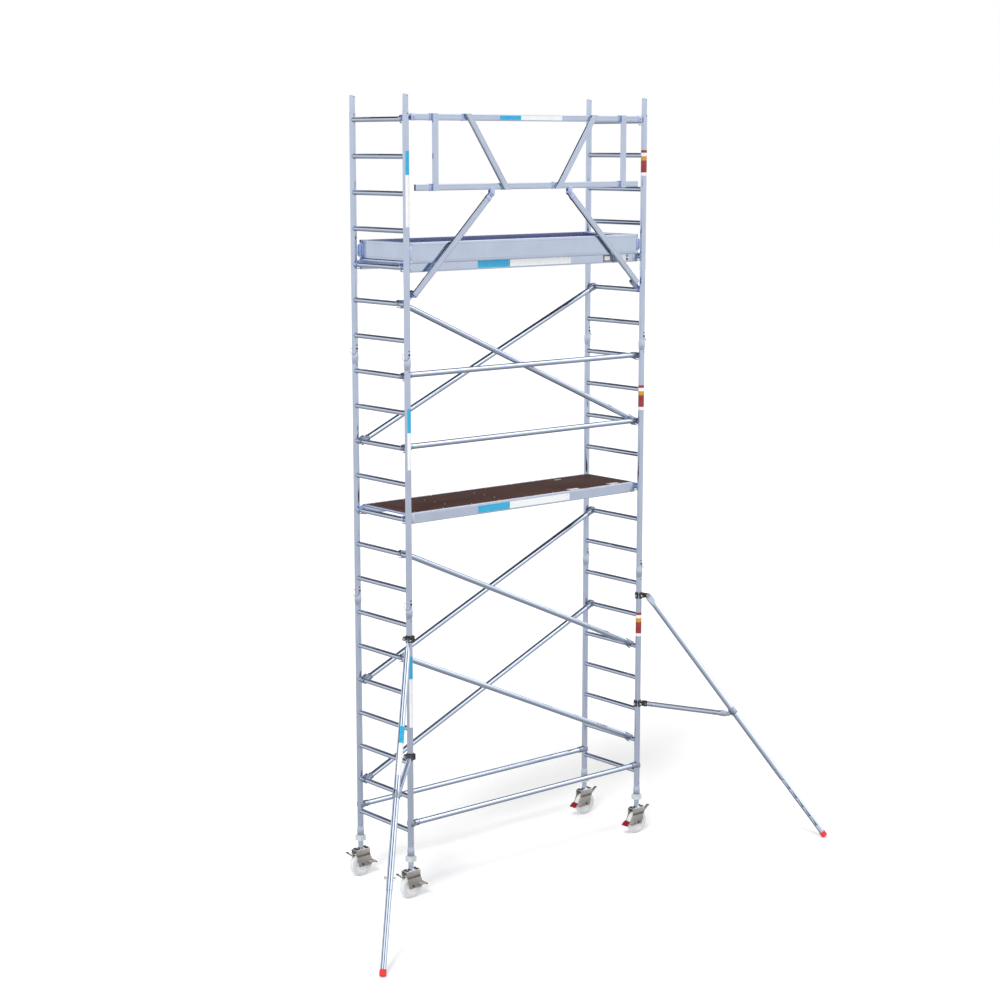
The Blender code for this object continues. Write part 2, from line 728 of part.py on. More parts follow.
def clamp_solids(height, pivot):
    """A ring round the upright with two cheeks out to the pivot bolt."""
    half = CLAMP_HEIGHT / 2
    ring = hollow_ring(CLAMP_BORE_R, CLAMP_R, height - half, height + half, CLAMP_SIDES)
    solids = [ring]
    offset = TONGUE / 2 + CLAMP_CHEEK / 2 + GAP + 0.0002
    for side in (-1, 1):
        low_y = side * offset - CLAMP_CHEEK / 2
        high_y = side * offset + CLAMP_CHEEK / 2
        tip = arc_points(pivot, EYE_R, -math.pi / 2, math.pi / 2, 6)
        root = CLAMP_BORE_R + 0.003
        outline = [(root, pivot[1] - EYE_R), *tip, (root, pivot[1] + EYE_R)]
        solids.append(plate(outline, low_y, high_y))
    return solids


def stabiliser_clamp_mesh():
    start = on_tube(0)
    pivot = (start.x, start.z)
    solids = clamp_solids(start.z, pivot)
    solids.append(bolt_along_y(pivot, TONGUE / 2 + CLAMP_CHEEK + 0.005, PIVOT_PIN_R))
    return combined("stabiliser_clamp", solids)


def stabiliser_brace_mesh():
    """The brace tube, with its clamp at the inner end and a bolted tongue at the outer one."""
    inner = Vector((CLAMP_R - 0.003, STABILISER_LOWER_Z))
    outer = Vector(STABILISER_EYE)
    direction = (outer - inner).normalized()
    end = outer - direction * 0.038
    tube = tube_between((inner.x, 0, inner.y), (end.x, 0, end.y), STABILISER_BRACE_R, BRACE_SIDES)
    half = CLAMP_HEIGHT / 2
    low = STABILISER_LOWER_Z - half
    high = STABILISER_LOWER_Z + half
    ring = rod(CLAMP_R, low, high, CLAMP_SIDES)
    bore = rod(CLAMP_BORE_R, low - 0.02, high + 0.02, CLAMP_SIDES)
    ear = tongue(outer, outer - direction * 0.060)
    hole = bolt_along_y(STABILISER_EYE, TONGUE, PIVOT_PIN_R + 0.0007, 12)
    return combined("stabiliser_brace", [tube, ring, ear], [bore, hole])


def add_stabilisers(aluminium, black, rubber, parent):
    makers = {
        "tube": (stabiliser_tube_mesh, aluminium),
        "leg": (stabiliser_leg_mesh, aluminium),
        "foot": (stabiliser_foot_mesh, rubber),
        "clamp": (stabiliser_clamp_mesh, black),
        "brace": (stabiliser_brace_mesh, aluminium),
    }
    for part, (maker, material) in makers.items():
        shape = maker()
        mesh = shape if isinstance(shape, bpy.types.Mesh) else mesh_from(part, shape)
        for name, sign in SIDES.items():
            location = (sign * HALF_LENGTH, -HALF_WIDTH, 0)
            turn = math.radians(-90 + 45 * sign)
            place(f"{name}_stabiliser_{part}", mesh, material, parent, location, turn)


# ---------------------------------------------------------------- adjustable legs and castors
# Each is built about the upright's axis, with the castor's pedal on the local +X side.


def spindle_mesh():
    """The threaded leg, with the collar it stands on and the stem its castor turns on."""
    return turned(
        [
            (0, FORK_TOP - FORK_PLATE - 0.006),
            (STEM_R, FORK_TOP - FORK_PLATE - 0.006),
            (STEM_R, FORK_TOP + GAP),
            (SPINDLE_R + 0.008, FORK_TOP + GAP),
            (SPINDLE_R + 0.008, FORK_TOP + 0.006),
            (SPINDLE_R, FORK_TOP + 0.010),
            (SPINDLE_R, FORK_TOP + SPINDLE_LENGTH),
            (0, FORK_TOP + SPINDLE_LENGTH),
        ],
        UPRIGHT_SIDES,
    )


def nut_mesh():
    """The adjusting nut, cupped round the upright's end, with four ears to turn it by."""
    seat = FIRST_RUNG_Z - UPRIGHT_FOOT - GAP
    profile = [
        (NUT_BORE_R, NUT_BOTTOM),
        (NUT_R - 0.003, NUT_BOTTOM),
        (NUT_R, NUT_BOTTOM + 0.006),
        (NUT_R, NUT_TOP),
        (NUT_CUP_R, NUT_TOP),
        (NUT_CUP_R, seat),
        (NUT_BORE_R, seat),
    ]
    solids = [turned(profile, CLAMP_SIDES, ring=True)]
    half = NUT_EAR_WIDTH / 2
    for angle in NUT_EAR_ANGLES:
        low = (NUT_CUP_R + 0.002, -half, NUT_BOTTOM + 0.008)
        ear = block(low, (NUT_EAR_REACH, half, NUT_TOP - 0.012))
        solids.append(moved(ear, Matrix.Rotation(math.radians(angle), 4, "Z")))
    return combined("adjusting_nut", solids)


def fork_mesh():
    """The castor's pressed fork: a top plate, two side plates, the axle and two rivet studs."""
    outer = FORK_INNER + FORK_SHEET
    under = FORK_TOP - FORK_PLATE
    back, front = FORK_X
    solids = [block((back, -outer, under), (front, outer, FORK_TOP))]
    outline = [
        (back, FORK_TOP - 0.001),
        (back, FORK_STEP_Z + 0.040),
        (back + 0.020, FORK_STEP_Z),
        (back + 0.032, FORK_BOTTOM),
        (front + 0.015, FORK_BOTTOM),
        (front + 0.020, FORK_BOTTOM + 0.050),
        (front, FORK_STEP_Z),
        (front, FORK_TOP - 0.001),
    ]
    pivot = Vector((PEDAL_PIVOT[0], 0, PEDAL_PIVOT[1]))
    across = Vector((0, 1, 0))
    for sign in (-1, 1):
        near, far = sorted((sign * FORK_INNER, sign * outer))
        solids.append(plate(outline, near, far))
        root = pivot + across * sign * (FORK_INNER + 0.001)
        tip = pivot + across * sign * (PEDAL_ARM_Y + PEDAL_ARM + 0.002)
        solids.append(tube_between(root, tip, PEDAL_STUD_R, RUNG_SIDES))
    solids.append(bolt_along_y((0, WHEEL_R), outer + 0.0008, AXLE_R))
    stem_hole = rod(STEM_BORE_R, under - 0.02, FORK_TOP + 0.02, CLAMP_SIDES)
    return combined("castor_fork", solids, [stem_hole])


def wheel_mesh():
    """The wheel about its axle along Y. Its flats stand on the floor."""
    half = WHEEL_WIDTH / 2
    rim = WHEEL_R / math.cos(math.pi / WHEEL_SIDES)
    profile = [
        (AXLE_BORE_R, -half - 0.002),
        (HUB_R, -half - 0.002),
        (HUB_R, -half),
        (rim - RIM_ROUND, -half),
        (rim, -half + RIM_ROUND),
        (rim, half - RIM_ROUND),
        (rim - RIM_ROUND, half),
        (HUB_R, half),
        (HUB_R, half + 0.002),
        (AXLE_BORE_R, half + 0.002),
    ]
    upright = Matrix.Rotation(math.radians(90), 4, "X")
    return moved(turned(profile, WHEEL_SIDES, ring=True), upright)


def pedal_mesh():
    """The brake pedal about its rivets: an arm outside each fork plate and a sloping pad."""
    pivot = Vector(PEDAL_PIVOT)
    inner_top, outer_top, outer_low, inner_low = [Vector(p) - pivot for p in PEDAL_PAD]
    round_end = arc_points((0, 0), PEDAL_EYE_R, math.radians(100), math.radians(260), 5)
    inset = (outer_top - inner_top) * 0.8
    arm = [*round_end, tuple(inner_low), tuple(inner_low + inset * 0.9), tuple(inner_top + inset)]
    arm.append(tuple(inner_top + Vector((0, -0.001))))
    pad = [tuple(p) for p in (inner_top, outer_top, outer_low, inner_low)]
    half = PEDAL_ARM_Y + PEDAL_ARM + 0.001
    solids = [plate(pad, -half, half)]
    for sign in (-1, 1):
        near, far = sorted((sign * PEDAL_ARM_Y, sign * (PEDAL_ARM_Y + PEDAL_ARM)))
        solids.append(plate(arm, near, far))
    hole = tube_between((0, -0.05, 0), (0, 0.05, 0), PEDAL_STUD_R + 0.0008, RUNG_SIDES)
    return combined("brake_pedal", solids, [hole])


def add_castors(materials, parent):
    steel = materials["fork"]
    spindle = mesh_from("leg_spindle", spindle_mesh())
    nut = nut_mesh()
    fork = fork_mesh()
    wheel = mesh_from("castor_wheel", wheel_mesh())
    pedal = pedal_mesh()
    for side, sign in SIDES.items():
        turn = math.radians(90 + 90 * sign)
        for depth, depth_sign in DEPTHS.items():
            corner = f"{side}_{depth}"
            x = sign * HALF_LENGTH
            y = depth_sign * HALF_WIDTH
            place(f"{corner}_leg_spindle", spindle, steel, parent, (x, y, 0))
            place(f"{corner}_leg_nut", nut, materials["nylon"], parent, (x, y, 0))
            place(f"{corner}_castor_fork", fork, steel, parent, (x, y, 0), turn)
            place(f"{corner}_castor_wheel", wheel, materials["nylon"], parent, (x, y, WHEEL_R))
            pivot = (x - sign * PEDAL_PIVOT[0], y, PEDAL_PIVOT[1])
            place(f"{corner}_brake_pedal", pedal, materials["red"], parent, pivot, turn)


# ---------------------------------------------------------------- assembly


def main():
    clear_scene()
    aluminium = make_material("aluminium", (0.72, 0.74, 0.78), 0.25, 1.0)
    board = make_material("deck_board", (0.10, 0.05, 0.04), 0.6)
    black = make_material("black_steel", (0.02, 0.02, 0.022), 0.4, 0.5)
    rubber = make_material("red_rubber", (0.45, 0.05, 0.05), 0.6)
    castor = {
        "fork": make_material("castor_steel", (0.33, 0.31, 0.29), 0.4, 0.8),
        "nylon": make_material("white_nylon", (0.85, 0.86, 0.88), 0.35),
        "red": make_material("red_plastic", (0.40, 0.03, 0.03), 0.4),
    }
    tower = bpy.data.objects.new("tower_centre", None)
    bpy.context.scene.collection.objects.link(tower)
    tower.location = (0, TOWER_Y, 0)
    add_frames(aluminium, tower)
    add_braces(aluminium, tower)
    add_platforms(aluminium, board, tower)
    add_toe_boards(aluminium, tower)
    add_guardrail(aluminium, tower)
    add_stabilisers(aluminium, black, rubber, tower)
    add_castors(castor, tower)


main()
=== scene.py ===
"""Looks of the mobile tower scaffold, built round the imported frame.

Metres, in the frame's own axes. Shapes are made about the tower's centre line and then moved
back to where the frame holds the tower.
"""

import math

import bmesh
import bpy
from mathutils import Matrix, Vector


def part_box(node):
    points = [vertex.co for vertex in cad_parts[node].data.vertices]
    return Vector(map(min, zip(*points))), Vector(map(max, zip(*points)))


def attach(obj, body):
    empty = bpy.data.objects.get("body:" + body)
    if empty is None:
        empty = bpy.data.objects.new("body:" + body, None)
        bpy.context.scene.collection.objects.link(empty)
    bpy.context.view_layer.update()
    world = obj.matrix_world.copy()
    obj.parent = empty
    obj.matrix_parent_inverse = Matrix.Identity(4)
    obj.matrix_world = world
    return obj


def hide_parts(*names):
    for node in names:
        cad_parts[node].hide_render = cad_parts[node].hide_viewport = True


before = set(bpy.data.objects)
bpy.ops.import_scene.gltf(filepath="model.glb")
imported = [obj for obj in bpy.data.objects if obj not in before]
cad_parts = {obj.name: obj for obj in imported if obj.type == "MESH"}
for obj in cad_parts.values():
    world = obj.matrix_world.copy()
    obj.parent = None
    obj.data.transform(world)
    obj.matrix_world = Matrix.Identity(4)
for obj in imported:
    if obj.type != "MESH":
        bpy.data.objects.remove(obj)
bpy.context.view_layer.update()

# ---------------------------------------------------------------- sizes

SIDES = {"left": -1, "right": 1}
DEPTHS = {"front": -1, "back": 1}
LEVELS = ("lower", "middle", "upper")


def middle(node):
    low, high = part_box(node)
    return (low + high) / 2


TOWER_Y = middle("left_frame_lower").y
HALF_LENGTH = middle("right_frame_lower").x
HALF_WIDTH = (middle("left_back_leg_spindle").y - middle("left_front_leg_spindle").y) / 2
FRAME_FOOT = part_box("left_frame_lower")[0].z
RUNG_PITCH = 0.280
RUNGS_PER_FRAME = 7
FIRST_RUNG = 0.222
FIRST_RUNG_Z = FRAME_FOOT + FIRST_RUNG
GAP = 0.0003

UPRIGHT_R = 0.025
UPRIGHT_WALL = 0.0023
SWAGE_R = 0.0287
SWAGE_LENGTH = 0.092
SPIGOT_R = 0.0222
SPIGOT_TOP = 0.187
SHOULDER = RUNGS_PER_FRAME * RUNG_PITCH - FIRST_RUNG - GAP
RUNG_R = 0.020
PIN_HOLE = 0.175
SPARE_HOLE_LIFT = 0.028
BRACE_R = 0.0225
BRACE_LIFT = 0.012
BACK_BRACE_LIFT = -0.002

SMOOTH = 40


def rung_z(number):
    return FIRST_RUNG_Z + (number - 1) * RUNG_PITCH


def shift(x=0, y=0, z=0):
    return Matrix.Translation((x, y, z))


def turn(degrees, axis):
    return Matrix.Rotation(math.radians(degrees), 4, axis)


def along(start, end, up=(0, 0, 1)):
    """The frame whose Z runs from start to end and whose X leans towards up."""
    z_axis = (Vector(end) - Vector(start)).normalized()
    y_axis = z_axis.cross(Vector(up)).normalized()
    x_axis = y_axis.cross(z_axis)
    axes = Matrix((x_axis, y_axis, z_axis)).transposed().to_4x4()
    return Matrix.Translation(start) @ axes


def pointing(start, direction):
    """The frame at start whose Z runs in a direction, level or upright."""
    direction = Vector(direction).normalized()
    up = (0, 0, 1) if abs(direction.z) < 0.9 else (1, 0, 0)
    return along(start, Vector(start) + direction, up)


def arc(centre, radius, start, end, steps):
    """Points on an arc, from start to end in degrees."""
    points = []
    for i in range(steps + 1):
        angle = math.radians(start + (end - start) * i / steps)
        points.append((centre[0] + radius * math.cos(angle), centre[1] + radius * math.sin(angle)))
    return points


def rounded(half_x, half_y, radius, steps=4, centre=(0, 0)):
    """The outline of a rectangle with round corners."""
    points = []
    for sign_x, sign_y, start in ((1, 1, 0), (-1, 1, 90), (-1, -1, 180), (1, -1, 270)):
        corner = (centre[0] + sign_x * (half_x - radius), centre[1] + sign_y * (half_y - radius))
        points += arc(corner, radius, start, start + 90, steps)
    return points


# ---------------------------------------------------------------- materials


class Shader:
    """A Principled material with helpers for its procedural detail."""

    def __init__(self, name, colour, roughness, metallic=0.0):
        self.material = bpy.data.materials.new(name)
        self.material.use_nodes = True
        self.tree = self.material.node_tree
        self.inputs = self.tree.nodes["Principled BSDF"].inputs
        self.inputs["Base Color"].default_value = (*colour, 1.0)
        self.inputs["Roughness"].default_value = roughness
        self.inputs["Metallic"].default_value = metallic
        self.place = self.tree.nodes.new("ShaderNodeTexCoord").outputs["Object"]

    def node(self, kind, source, socket, **values):
        """A node fed by source, with the named inputs set."""
        made = self.tree.nodes.new(kind)
        for name, value in values.items():
            made.inputs[name.replace("_", " ")].default_value = value
        self.link(source, made.inputs[socket])
        return made

    def link(self, source, target):
        self.tree.links.new(source, target)

    def noise(self, scale, detail=4.0, stretch=(1, 1, 1), rough=0.55):
        mapping = self.node("ShaderNodeMapping", self.place, "Vector", Scale=stretch)
        values = {"Scale": scale, "Detail": detail, "Roughness": rough}
        return self.node("ShaderNodeTexNoise", mapping.outputs[0], "Vector", **values).outputs["Fac"]

    def remap(self, value, low, high, to_low=0.0, to_high=1.0):
        ends = {"From_Min": low, "From_Max": high, "To_Min": to_low, "To_Max": to_high}
        return self.node("ShaderNodeMapRange", value, "Value", **ends).outputs["Result"]

    def tint(self, factor, first, second):
        """The base colour runs from first to second with the factor."""
        mix = self.tree.nodes.new("ShaderNodeMix")
        mix.data_type = "RGBA"
        self.link(factor, mix.inputs[0])
        mix.inputs[6].default_value = (*first, 1.0)
        mix.inputs[7].default_value = (*second, 1.0)
        self.link(mix.outputs[2], self.inputs["Base Color"])

    def polish(self, factor, low, high):
        """The roughness runs from low to high with the factor."""
        self.link(self.remap(factor, 0.3, 0.7, low, high), self.inputs["Roughness"])

    def bump(self, height, strength, distance):
        node = self.node("ShaderNodeBump", height, "Height", Strength=strength, Distance=distance)
        self.link(node.outputs["Normal"], self.inputs["Normal"])


def mottled(name, pale, deep, clouds, spread, polish, grain, bump, metallic=0.0):
    """Clouds of two tones and two polishes over a fine grain, each a noise of (scale, detail)."""
    made = Shader(name, pale, polish[0], metallic)
    cloud = made.noise(*clouds)
    made.tint(made.remap(cloud, *spread), pale, deep)
    made.polish(cloud, *polish)
    made.bump(made.noise(*grain), *bump)
    return made


def drawn_aluminium(name, stretch):
    """Bright drawn tube: faint draw lines along it, cloudy handling marks and small scuffs."""
    tones = (0.595, 0.66, 0.795), (0.55, 0.615, 0.75)
    finish = (5.0, 6.0), (0.35, 0.7), (0.07, 0.15), (130.0, 2.0, stretch), (0.06, 0.0003), 1.0
    return mottled(name, *tones, *finish).material


def cast_aluminium(name, pale, deep):
    finish = (30.0, 5.0), (0.3, 0.7), (0.18, 0.32), (420.0, 3.0), (0.25, 0.0005), 1.0
    return mottled(name, pale, deep, *finish).material


def toe_inner_painted_shade():
    """The unpolished inner face of a toe board, its dark blue colour painted shade and dark reflection.
    """
    tones = (0.16, 0.19, 0.40), (0.20, 0.23, 0.46)
    clouds = (9.0, 6.0, (0.3, 1, 1))
    finish = (0.35, 0.7), (0.42, 0.6), (240.0, 2.0, (0.05, 1, 1)), (0.1, 0.0003), 0.35
    return mottled("toe_inner_painted_shade", *tones, clouds, *finish).material


def film_board():
    """Film-faced plywood: a fine woven print, scuffed paler where people stand."""
    made = Shader("film_board", (0.085, 0.042, 0.036), 0.55)
    made.inputs["Specular IOR Level"].default_value = 0.015
    across = made.node("ShaderNodeMapping", made.place, "Vector", Rotation=(0, 0, math.radians(45)))
    mesh = made.node("ShaderNodeTexVoronoi", across.outputs[0], "Vector", Scale=210.0, Randomness=0.0)
    mesh.feature = "DISTANCE_TO_EDGE"
    wear = made.noise(3.5, 8.0, (0.5, 1.6, 1), 0.65)
    made.tint(made.remap(wear, 0.42, 0.72), (0.078, 0.040, 0.035), (0.098, 0.056, 0.050))
    made.polish(wear, 0.50, 0.68)
    made.bump(made.remap(mesh.outputs["Distance"], 0.0, 0.12), 0.35, 0.0008)
    return made.material


def plywood_edge():
    """The board's edge, with its plies showing as thin bands."""
    made = Shader("plywood_edge", (0.20, 0.12, 0.08), 0.7)
    bands = made.noise(900.0, 1.0, (0.02, 0.02, 1.0))
    made.tint(made.remap(bands, 0.4, 0.6), (0.12, 0.065, 0.045), (0.26, 0.16, 0.10))
    made.bump(bands, 0.2, 0.0004)
    return made.material


def coated_black():
    tones = (0.013, 0.013, 0.015), (0.060, 0.060, 0.062)
    finish = (60.0, 5.0), (0.45, 0.75), (0.26, 0.5), (600.0, 4.0), (0.15, 0.0003)
    return mottled("coated_black", *tones, *finish).material


def plated_steel(name, bright, dull, low, high):
    """Zinc plated steel with its mottled sheen."""
    finish = (45.0, 6.0), (0.35, 0.68), (low, high), (500.0, 2.0), (0.12, 0.0003), 1.0
    return mottled(name, bright, dull, *finish).material


def nylon(name, pale, deep):
    finish = (16.0, 5.0), (0.35, 0.7), (0.30, 0.5), (260.0, 3.0), (0.1, 0.0004)
    made = mottled(name, pale, deep, *finish)
    made.inputs["Subsurface Weight"].default_value = 0.12
    made.inputs["Subsurface Radius"].default_value = (0.01, 0.01, 0.01)
    return made.material


def moulded(name, colour, worn, low, high):
    """Moulded rubber or plastic with a fine grain and paler rubbed places."""
    finish = (40.0, 6.0), (0.4, 0.75), (low, high), (700.0, 2.0), (0.2, 0.0004)
    return mottled(name, colour, worn, *finish).material


def film(name, colour, faded):
    """Blank self-adhesive film, slightly uneven and faded."""
    finish = (20.0, 4.0), (0.35, 0.7), (0.22, 0.4), (90.0, 2.0), (0.05, 0.0004)
    return mottled(name, colour, faded, *finish).material


DRAWN_Z = drawn_aluminium("drawn_aluminium_z", (1, 1, 0.02))
DRAWN_Y = drawn_aluminium("drawn_aluminium_y", (1, 0.02, 1))
DRAWN_X = drawn_aluminium("drawn_aluminium_x", (0.02, 1, 1))
CAST = cast_aluminium("cast_aluminium", (0.45, 0.49, 0.60), (0.31, 0.34, 0.43))
# Cast aluminium tinted blue: the blue is a painted reflection, used on end castings, clips, brackets and
# strut ends.
BLUE_REFLECTION_CAST = cast_aluminium("cast_painted_blue_reflection", (0.56, 0.64, 0.90), (0.48, 0.56, 0.82))
# Dark blue satin metal for the toe boards' inner faces: painted shade and dark reflection.
TOE_INNER_SHADE = toe_inner_painted_shade()
BOARD = film_board()
PLY = plywood_edge()
BLACK = coated_black()
BRIGHT = plated_steel("bright_steel", (0.66, 0.66, 0.65), (0.46, 0.46, 0.46), 0.18, 0.34)
PALE_ZINC = plated_steel("pale_zinc", (0.97, 0.95, 0.94), (0.86, 0.84, 0.83), 0.35, 0.5)
CLAW_STEEL = plated_steel("claw_steel", (0.42, 0.46, 0.58), (0.30, 0.33, 0.42), 0.25, 0.4)
DARK = plated_steel("dark_steel", (0.10, 0.10, 0.105), (0.05, 0.05, 0.05), 0.3, 0.45)
SPRING = plated_steel("spring_steel", (0.26, 0.26, 0.27), (0.18, 0.18, 0.19), 0.25, 0.4)
FORK = plated_steel("castor_steel", (0.56, 0.53, 0.50), (0.47, 0.445, 0.42), 0.26, 0.40)
# Darker steel for the ridge under the fork's skirt: painted shadow of the skirt.
SKIRT_SHADOW_STEEL = plated_steel("fork_ridge_painted_shadow", (0.24, 0.225, 0.21), (0.18, 0.17, 0.16), 0.3, 0.45)
WHEEL = nylon("white_nylon", (0.76, 0.77, 0.78), (0.71, 0.72, 0.73))
# A darker copy of the wheel nylon for the outer face ring: painted shade towards the rim.
RIM_SHADE_NYLON = nylon("rim_nylon_painted_shade", (0.64, 0.65, 0.66), (0.60, 0.61, 0.62))
NUT = nylon("clear_nylon", (0.62, 0.66, 0.68), (0.52, 0.56, 0.58))
RED_RUBBER = moulded("red_rubber", (0.80, 0.022, 0.026), (0.70, 0.05, 0.05), 0.5, 0.7)
RED = moulded("red_plastic", (0.36, 0.006, 0.014), (0.22, 0.004, 0.008), 0.34, 0.5)
CAP = moulded("black_plastic", (0.012, 0.012, 0.014), (0.035, 0.035, 0.037), 0.35, 0.55)
WHITE_FILM = film("white_film", (0.84, 0.85, 0.87), (0.78, 0.79, 0.81))
CYAN_FILM = film("cyan_film", (0.012, 0.36, 0.62), (0.03, 0.40, 0.66))
RED_FILM = film("red_film", (0.27, 0.018, 0.022), (0.31, 0.04, 0.04))
GREY_FILM = film("grey_film", (0.16, 0.155, 0.15), (0.22, 0.215, 0.21))
YELLOW_FILM = film("yellow_film", (0.56, 0.27, 0.010), (0.60, 0.31, 0.03))

# ---------------------------------------------------------------- mesh building


class Piece:
    """One visible piece: a mesh under construction and the materials that its faces use."""

    def __init__(self, name, *materials):
        self.name = name
        self.materials = materials
        self.bm = bmesh.new()

    def loft(self, rings, material=0, closed=False, caps=True):
        """Skins rings of points that all have the same count."""
        made = [[self.bm.verts.new(point) for point in ring] for ring in rings]
        pairs = list(zip(made, made[1:]))
        if closed:
            pairs.append((made[-1], made[0]))
        faces = []
        for low, high in pairs:
            count = len(low)
            for i in range(count):
                j = (i + 1) % count
                faces.append(self.bm.faces.new((low[i], low[j], high[j], high[i])))
        if caps and not closed:
            faces.append(self.bm.faces.new(made[0][::-1]))
            faces.append(self.bm.faces.new(made[-1]))
        for face in faces:
            face.material_index = material

    def turned(self, profile, sides=SMOOTH, matrix=Matrix(), material=0, closed=False, caps=True):
        """Turns (radius, height) points about Z; closed is for a section clear of the axis."""
        angles = [math.tau * (i + 0.5) / sides for i in range(sides)]
        rings = []
        for radius, height in profile:
            ring = [Vector((radius * math.cos(a), radius * math.sin(a), height)) for a in angles]
            rings.append([matrix @ point for point in ring])
        self.loft(rings, material, closed, caps)

    def rod(self, start, end, radius, material=0, sides=24, chamfer=0.0):
        """A round bar between two points."""
        bar = Vector(end) - Vector(start)
        length = bar.length
        edge = min(chamfer, length / 3)
        profile = [(radius, edge), (radius, length - edge)]
        if edge:
            profile = [(radius - edge, 0), *profile, (radius - edge, length)]
        self.turned(profile, sides, pointing(start, bar), material)

    def pipe(self, start, end, radius, wall, material=0, sides=SMOOTH, edge=0.0008):
        """A round tube with open ends."""
        bar = Vector(end) - Vector(start)
        length = bar.length
        inner = radius - wall
        outside = [(radius - edge, 0), (radius, edge), (radius, length - edge), (radius - edge, length)]
        profile = [*outside, (inner, length), (inner, 0)]
        self.turned(profile, sides, pointing(start, bar), material, closed=True)

    def wire(self, points, radius, material=0, sides=8):
        """A round wire through points, turned smoothly from one to the next."""
        points = [Vector(point) for point in points]
        rings = []
        side = None
        for i, point in enumerate(points):
            direction = (points[min(i + 1, len(points) - 1)] - points[max(i - 1, 0)]).normalized()
            if side is None:
                guess = Vector((0, 0, 1)) if abs(direction.z) < 0.9 else Vector((1, 0, 0))
                side = direction.cross(guess).normalized()
            side = (side - direction * side.dot(direction)).normalized()
            other = direction.cross(side)
            ring = []
            for k in range(sides):
                angle = math.tau * k / sides
                ring.append(point + (side * math.cos(angle) + other * math.sin(angle)) * radius)
            rings.append(ring)
        self.loft(rings, material)

    def take(self, other, material, matrix):
        """Adds another bmesh to this piece."""
        for face in other.faces:
            face.material_index = material
        other.transform(matrix)
        mesh = bpy.data.meshes.new("part")
        other.to_mesh(mesh)
        other.free()
        self.bm.from_mesh(mesh)
        bpy.data.meshes.remove(mesh)

    def prism(self, outline, low, high, bevel=0.0, matrix=Matrix(), material=0, segments=2):
        """An outline in X and Z between two Y levels, with bevelled edges."""
        bm = bmesh.new()
        low, high = sorted((low, high))
        near = [bm.verts.new((x, low, z)) for x, z in outline]
        far = [bm.verts.new((x, high, z)) for x, z in outline]
        bm.faces.new(near)
        bm.faces.new(far[::-1])
        count = len(near)
        for i in range(count):
            j = (i + 1) % count
            bm.faces.new((near[j], near[i], far[i], far[j]))
        bmesh.ops.recalc_face_normals(bm, faces=bm.faces)
        if bevel:
            sharp = [e for e in bm.edges if e.calc_face_angle(0) > math.radians(35)]
            bmesh.ops.bevel(
                bm, geom=sharp, offset=bevel, segments=segments, profile=0.5, affect="EDGES"
            )
        self.take(bm, material, matrix)

    def block(self, low, high, bevel=0.001, matrix=Matrix(), material=0):
        """A box with rounded edges."""
        x0, x1 = sorted((low[0], high[0]))
        y0, y1 = sorted((low[1], high[1]))
        z0, z1 = sorted((low[2], high[2]))
        self.prism([(x0, z0), (x1, z0), (x1, z1), (x0, z1)], y0, y1, bevel, matrix, material)

    def bolt(self, point, direction, radius, height, material=0):
        """A hexagon head with its washer, standing on point and facing direction."""
        stand = pointing(point, direction)
        washer = 0.0015
        self.turned([(radius * 1.25, 0), (radius * 1.25, washer)], 24, stand, material)
        head = [(radius, washer), (radius, washer + height * 0.85), (radius * 0.86, washer + height)]
        self.turned(head, 6, stand, material)

    def rivet(self, point, direction, radius=0.004, material=0):
        """A domed rivet head."""
        dome = [(radius * math.cos(a), radius * 0.55 * math.sin(a)) for a in (0.0, 0.5, 1.0, 1.35)]
        self.turned([(radius, -0.0005), *dome], 14, pointing(point, direction), material)

    def mesh(self):
        """The finished mesh, with its faces turned outwards."""
        bmesh.ops.recalc_face_normals(self.bm, faces=self.bm.faces)
        mesh = bpy.data.meshes.new(self.name)
        self.bm.to_mesh(mesh)
        self.bm.free()
        mesh.shade_smooth()
        mesh.set_sharp_from_angle(angle=math.radians(32))
        for material in self.materials:
            mesh.materials.append(material)
        return mesh

    def place(self, *row, matrix=Matrix()):
        place(self.name, self.mesh(), *row, matrix=matrix)


def place(name, mesh, body, slot, *replaced, matrix=Matrix()):
    """Adds a mesh to the scene on its body, in place of the CAD nodes it stands for."""
    obj = bpy.data.objects.new(name, mesh)
    bpy.context.scene.collection.objects.link(obj)
    obj.matrix_world = shift(y=TOWER_Y) @ matrix
    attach(obj, body)
    if replaced:
        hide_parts(*replaced)


def cut(mesh, cutter):
    """The mesh less a closed cutter mesh."""
    base = bpy.data.objects.new("base", mesh)
    tool = bpy.data.objects.new("tool", cutter)
    for obj in (base, tool):
        bpy.context.scene.collection.objects.link(obj)
    modifier = base.modifiers.new("cut", "BOOLEAN")
    modifier.operation = "DIFFERENCE"
    modifier.solver = "EXACT"
    modifier.object = tool
    graph = bpy.context.evaluated_depsgraph_get()
    result = bpy.data.meshes.new_from_object(base.evaluated_get(graph))
    for obj in (base, tool):
        bpy.data.objects.remove(obj)
    return result


# ---------------------------------------------------------------- ladder frames


def upright_profile():
    """Outside from the foot up, then back down the inside."""
    foot = -FIRST_RUNG
    top_rung = (RUNGS_PER_FRAME - 1) * RUNG_PITCH
    outside = [(UPRIGHT_R - 0.0004, foot)]
    for i in range(17):
        share = i / 16
        bulge = math.sin(math.pi * share) ** 1.3
        height = foot + 0.001 + share * (SWAGE_LENGTH - 0.002)
        outside.append((UPRIGHT_R + (SWAGE_R - UPRIGHT_R) * bulge, height))
    outside.append((UPRIGHT_R, foot + SWAGE_LENGTH))
    outside += [(UPRIGHT_R, SHOULDER - 0.0008), (UPRIGHT_R - 0.0008, SHOULDER)]
    tip = top_rung + SPIGOT_TOP
    outside += [(SPIGOT_R, SHOULDER), (SPIGOT_R, tip - 0.008), (SPIGOT_R - 0.0022, tip - 0.0006)]
    inner_spigot = SPIGOT_R - 0.0035
    inner = UPRIGHT_R - UPRIGHT_WALL
    step = SHOULDER - 0.09
    return [*outside, (inner_spigot, tip), (inner_spigot, step), (inner, step), (inner, foot)]


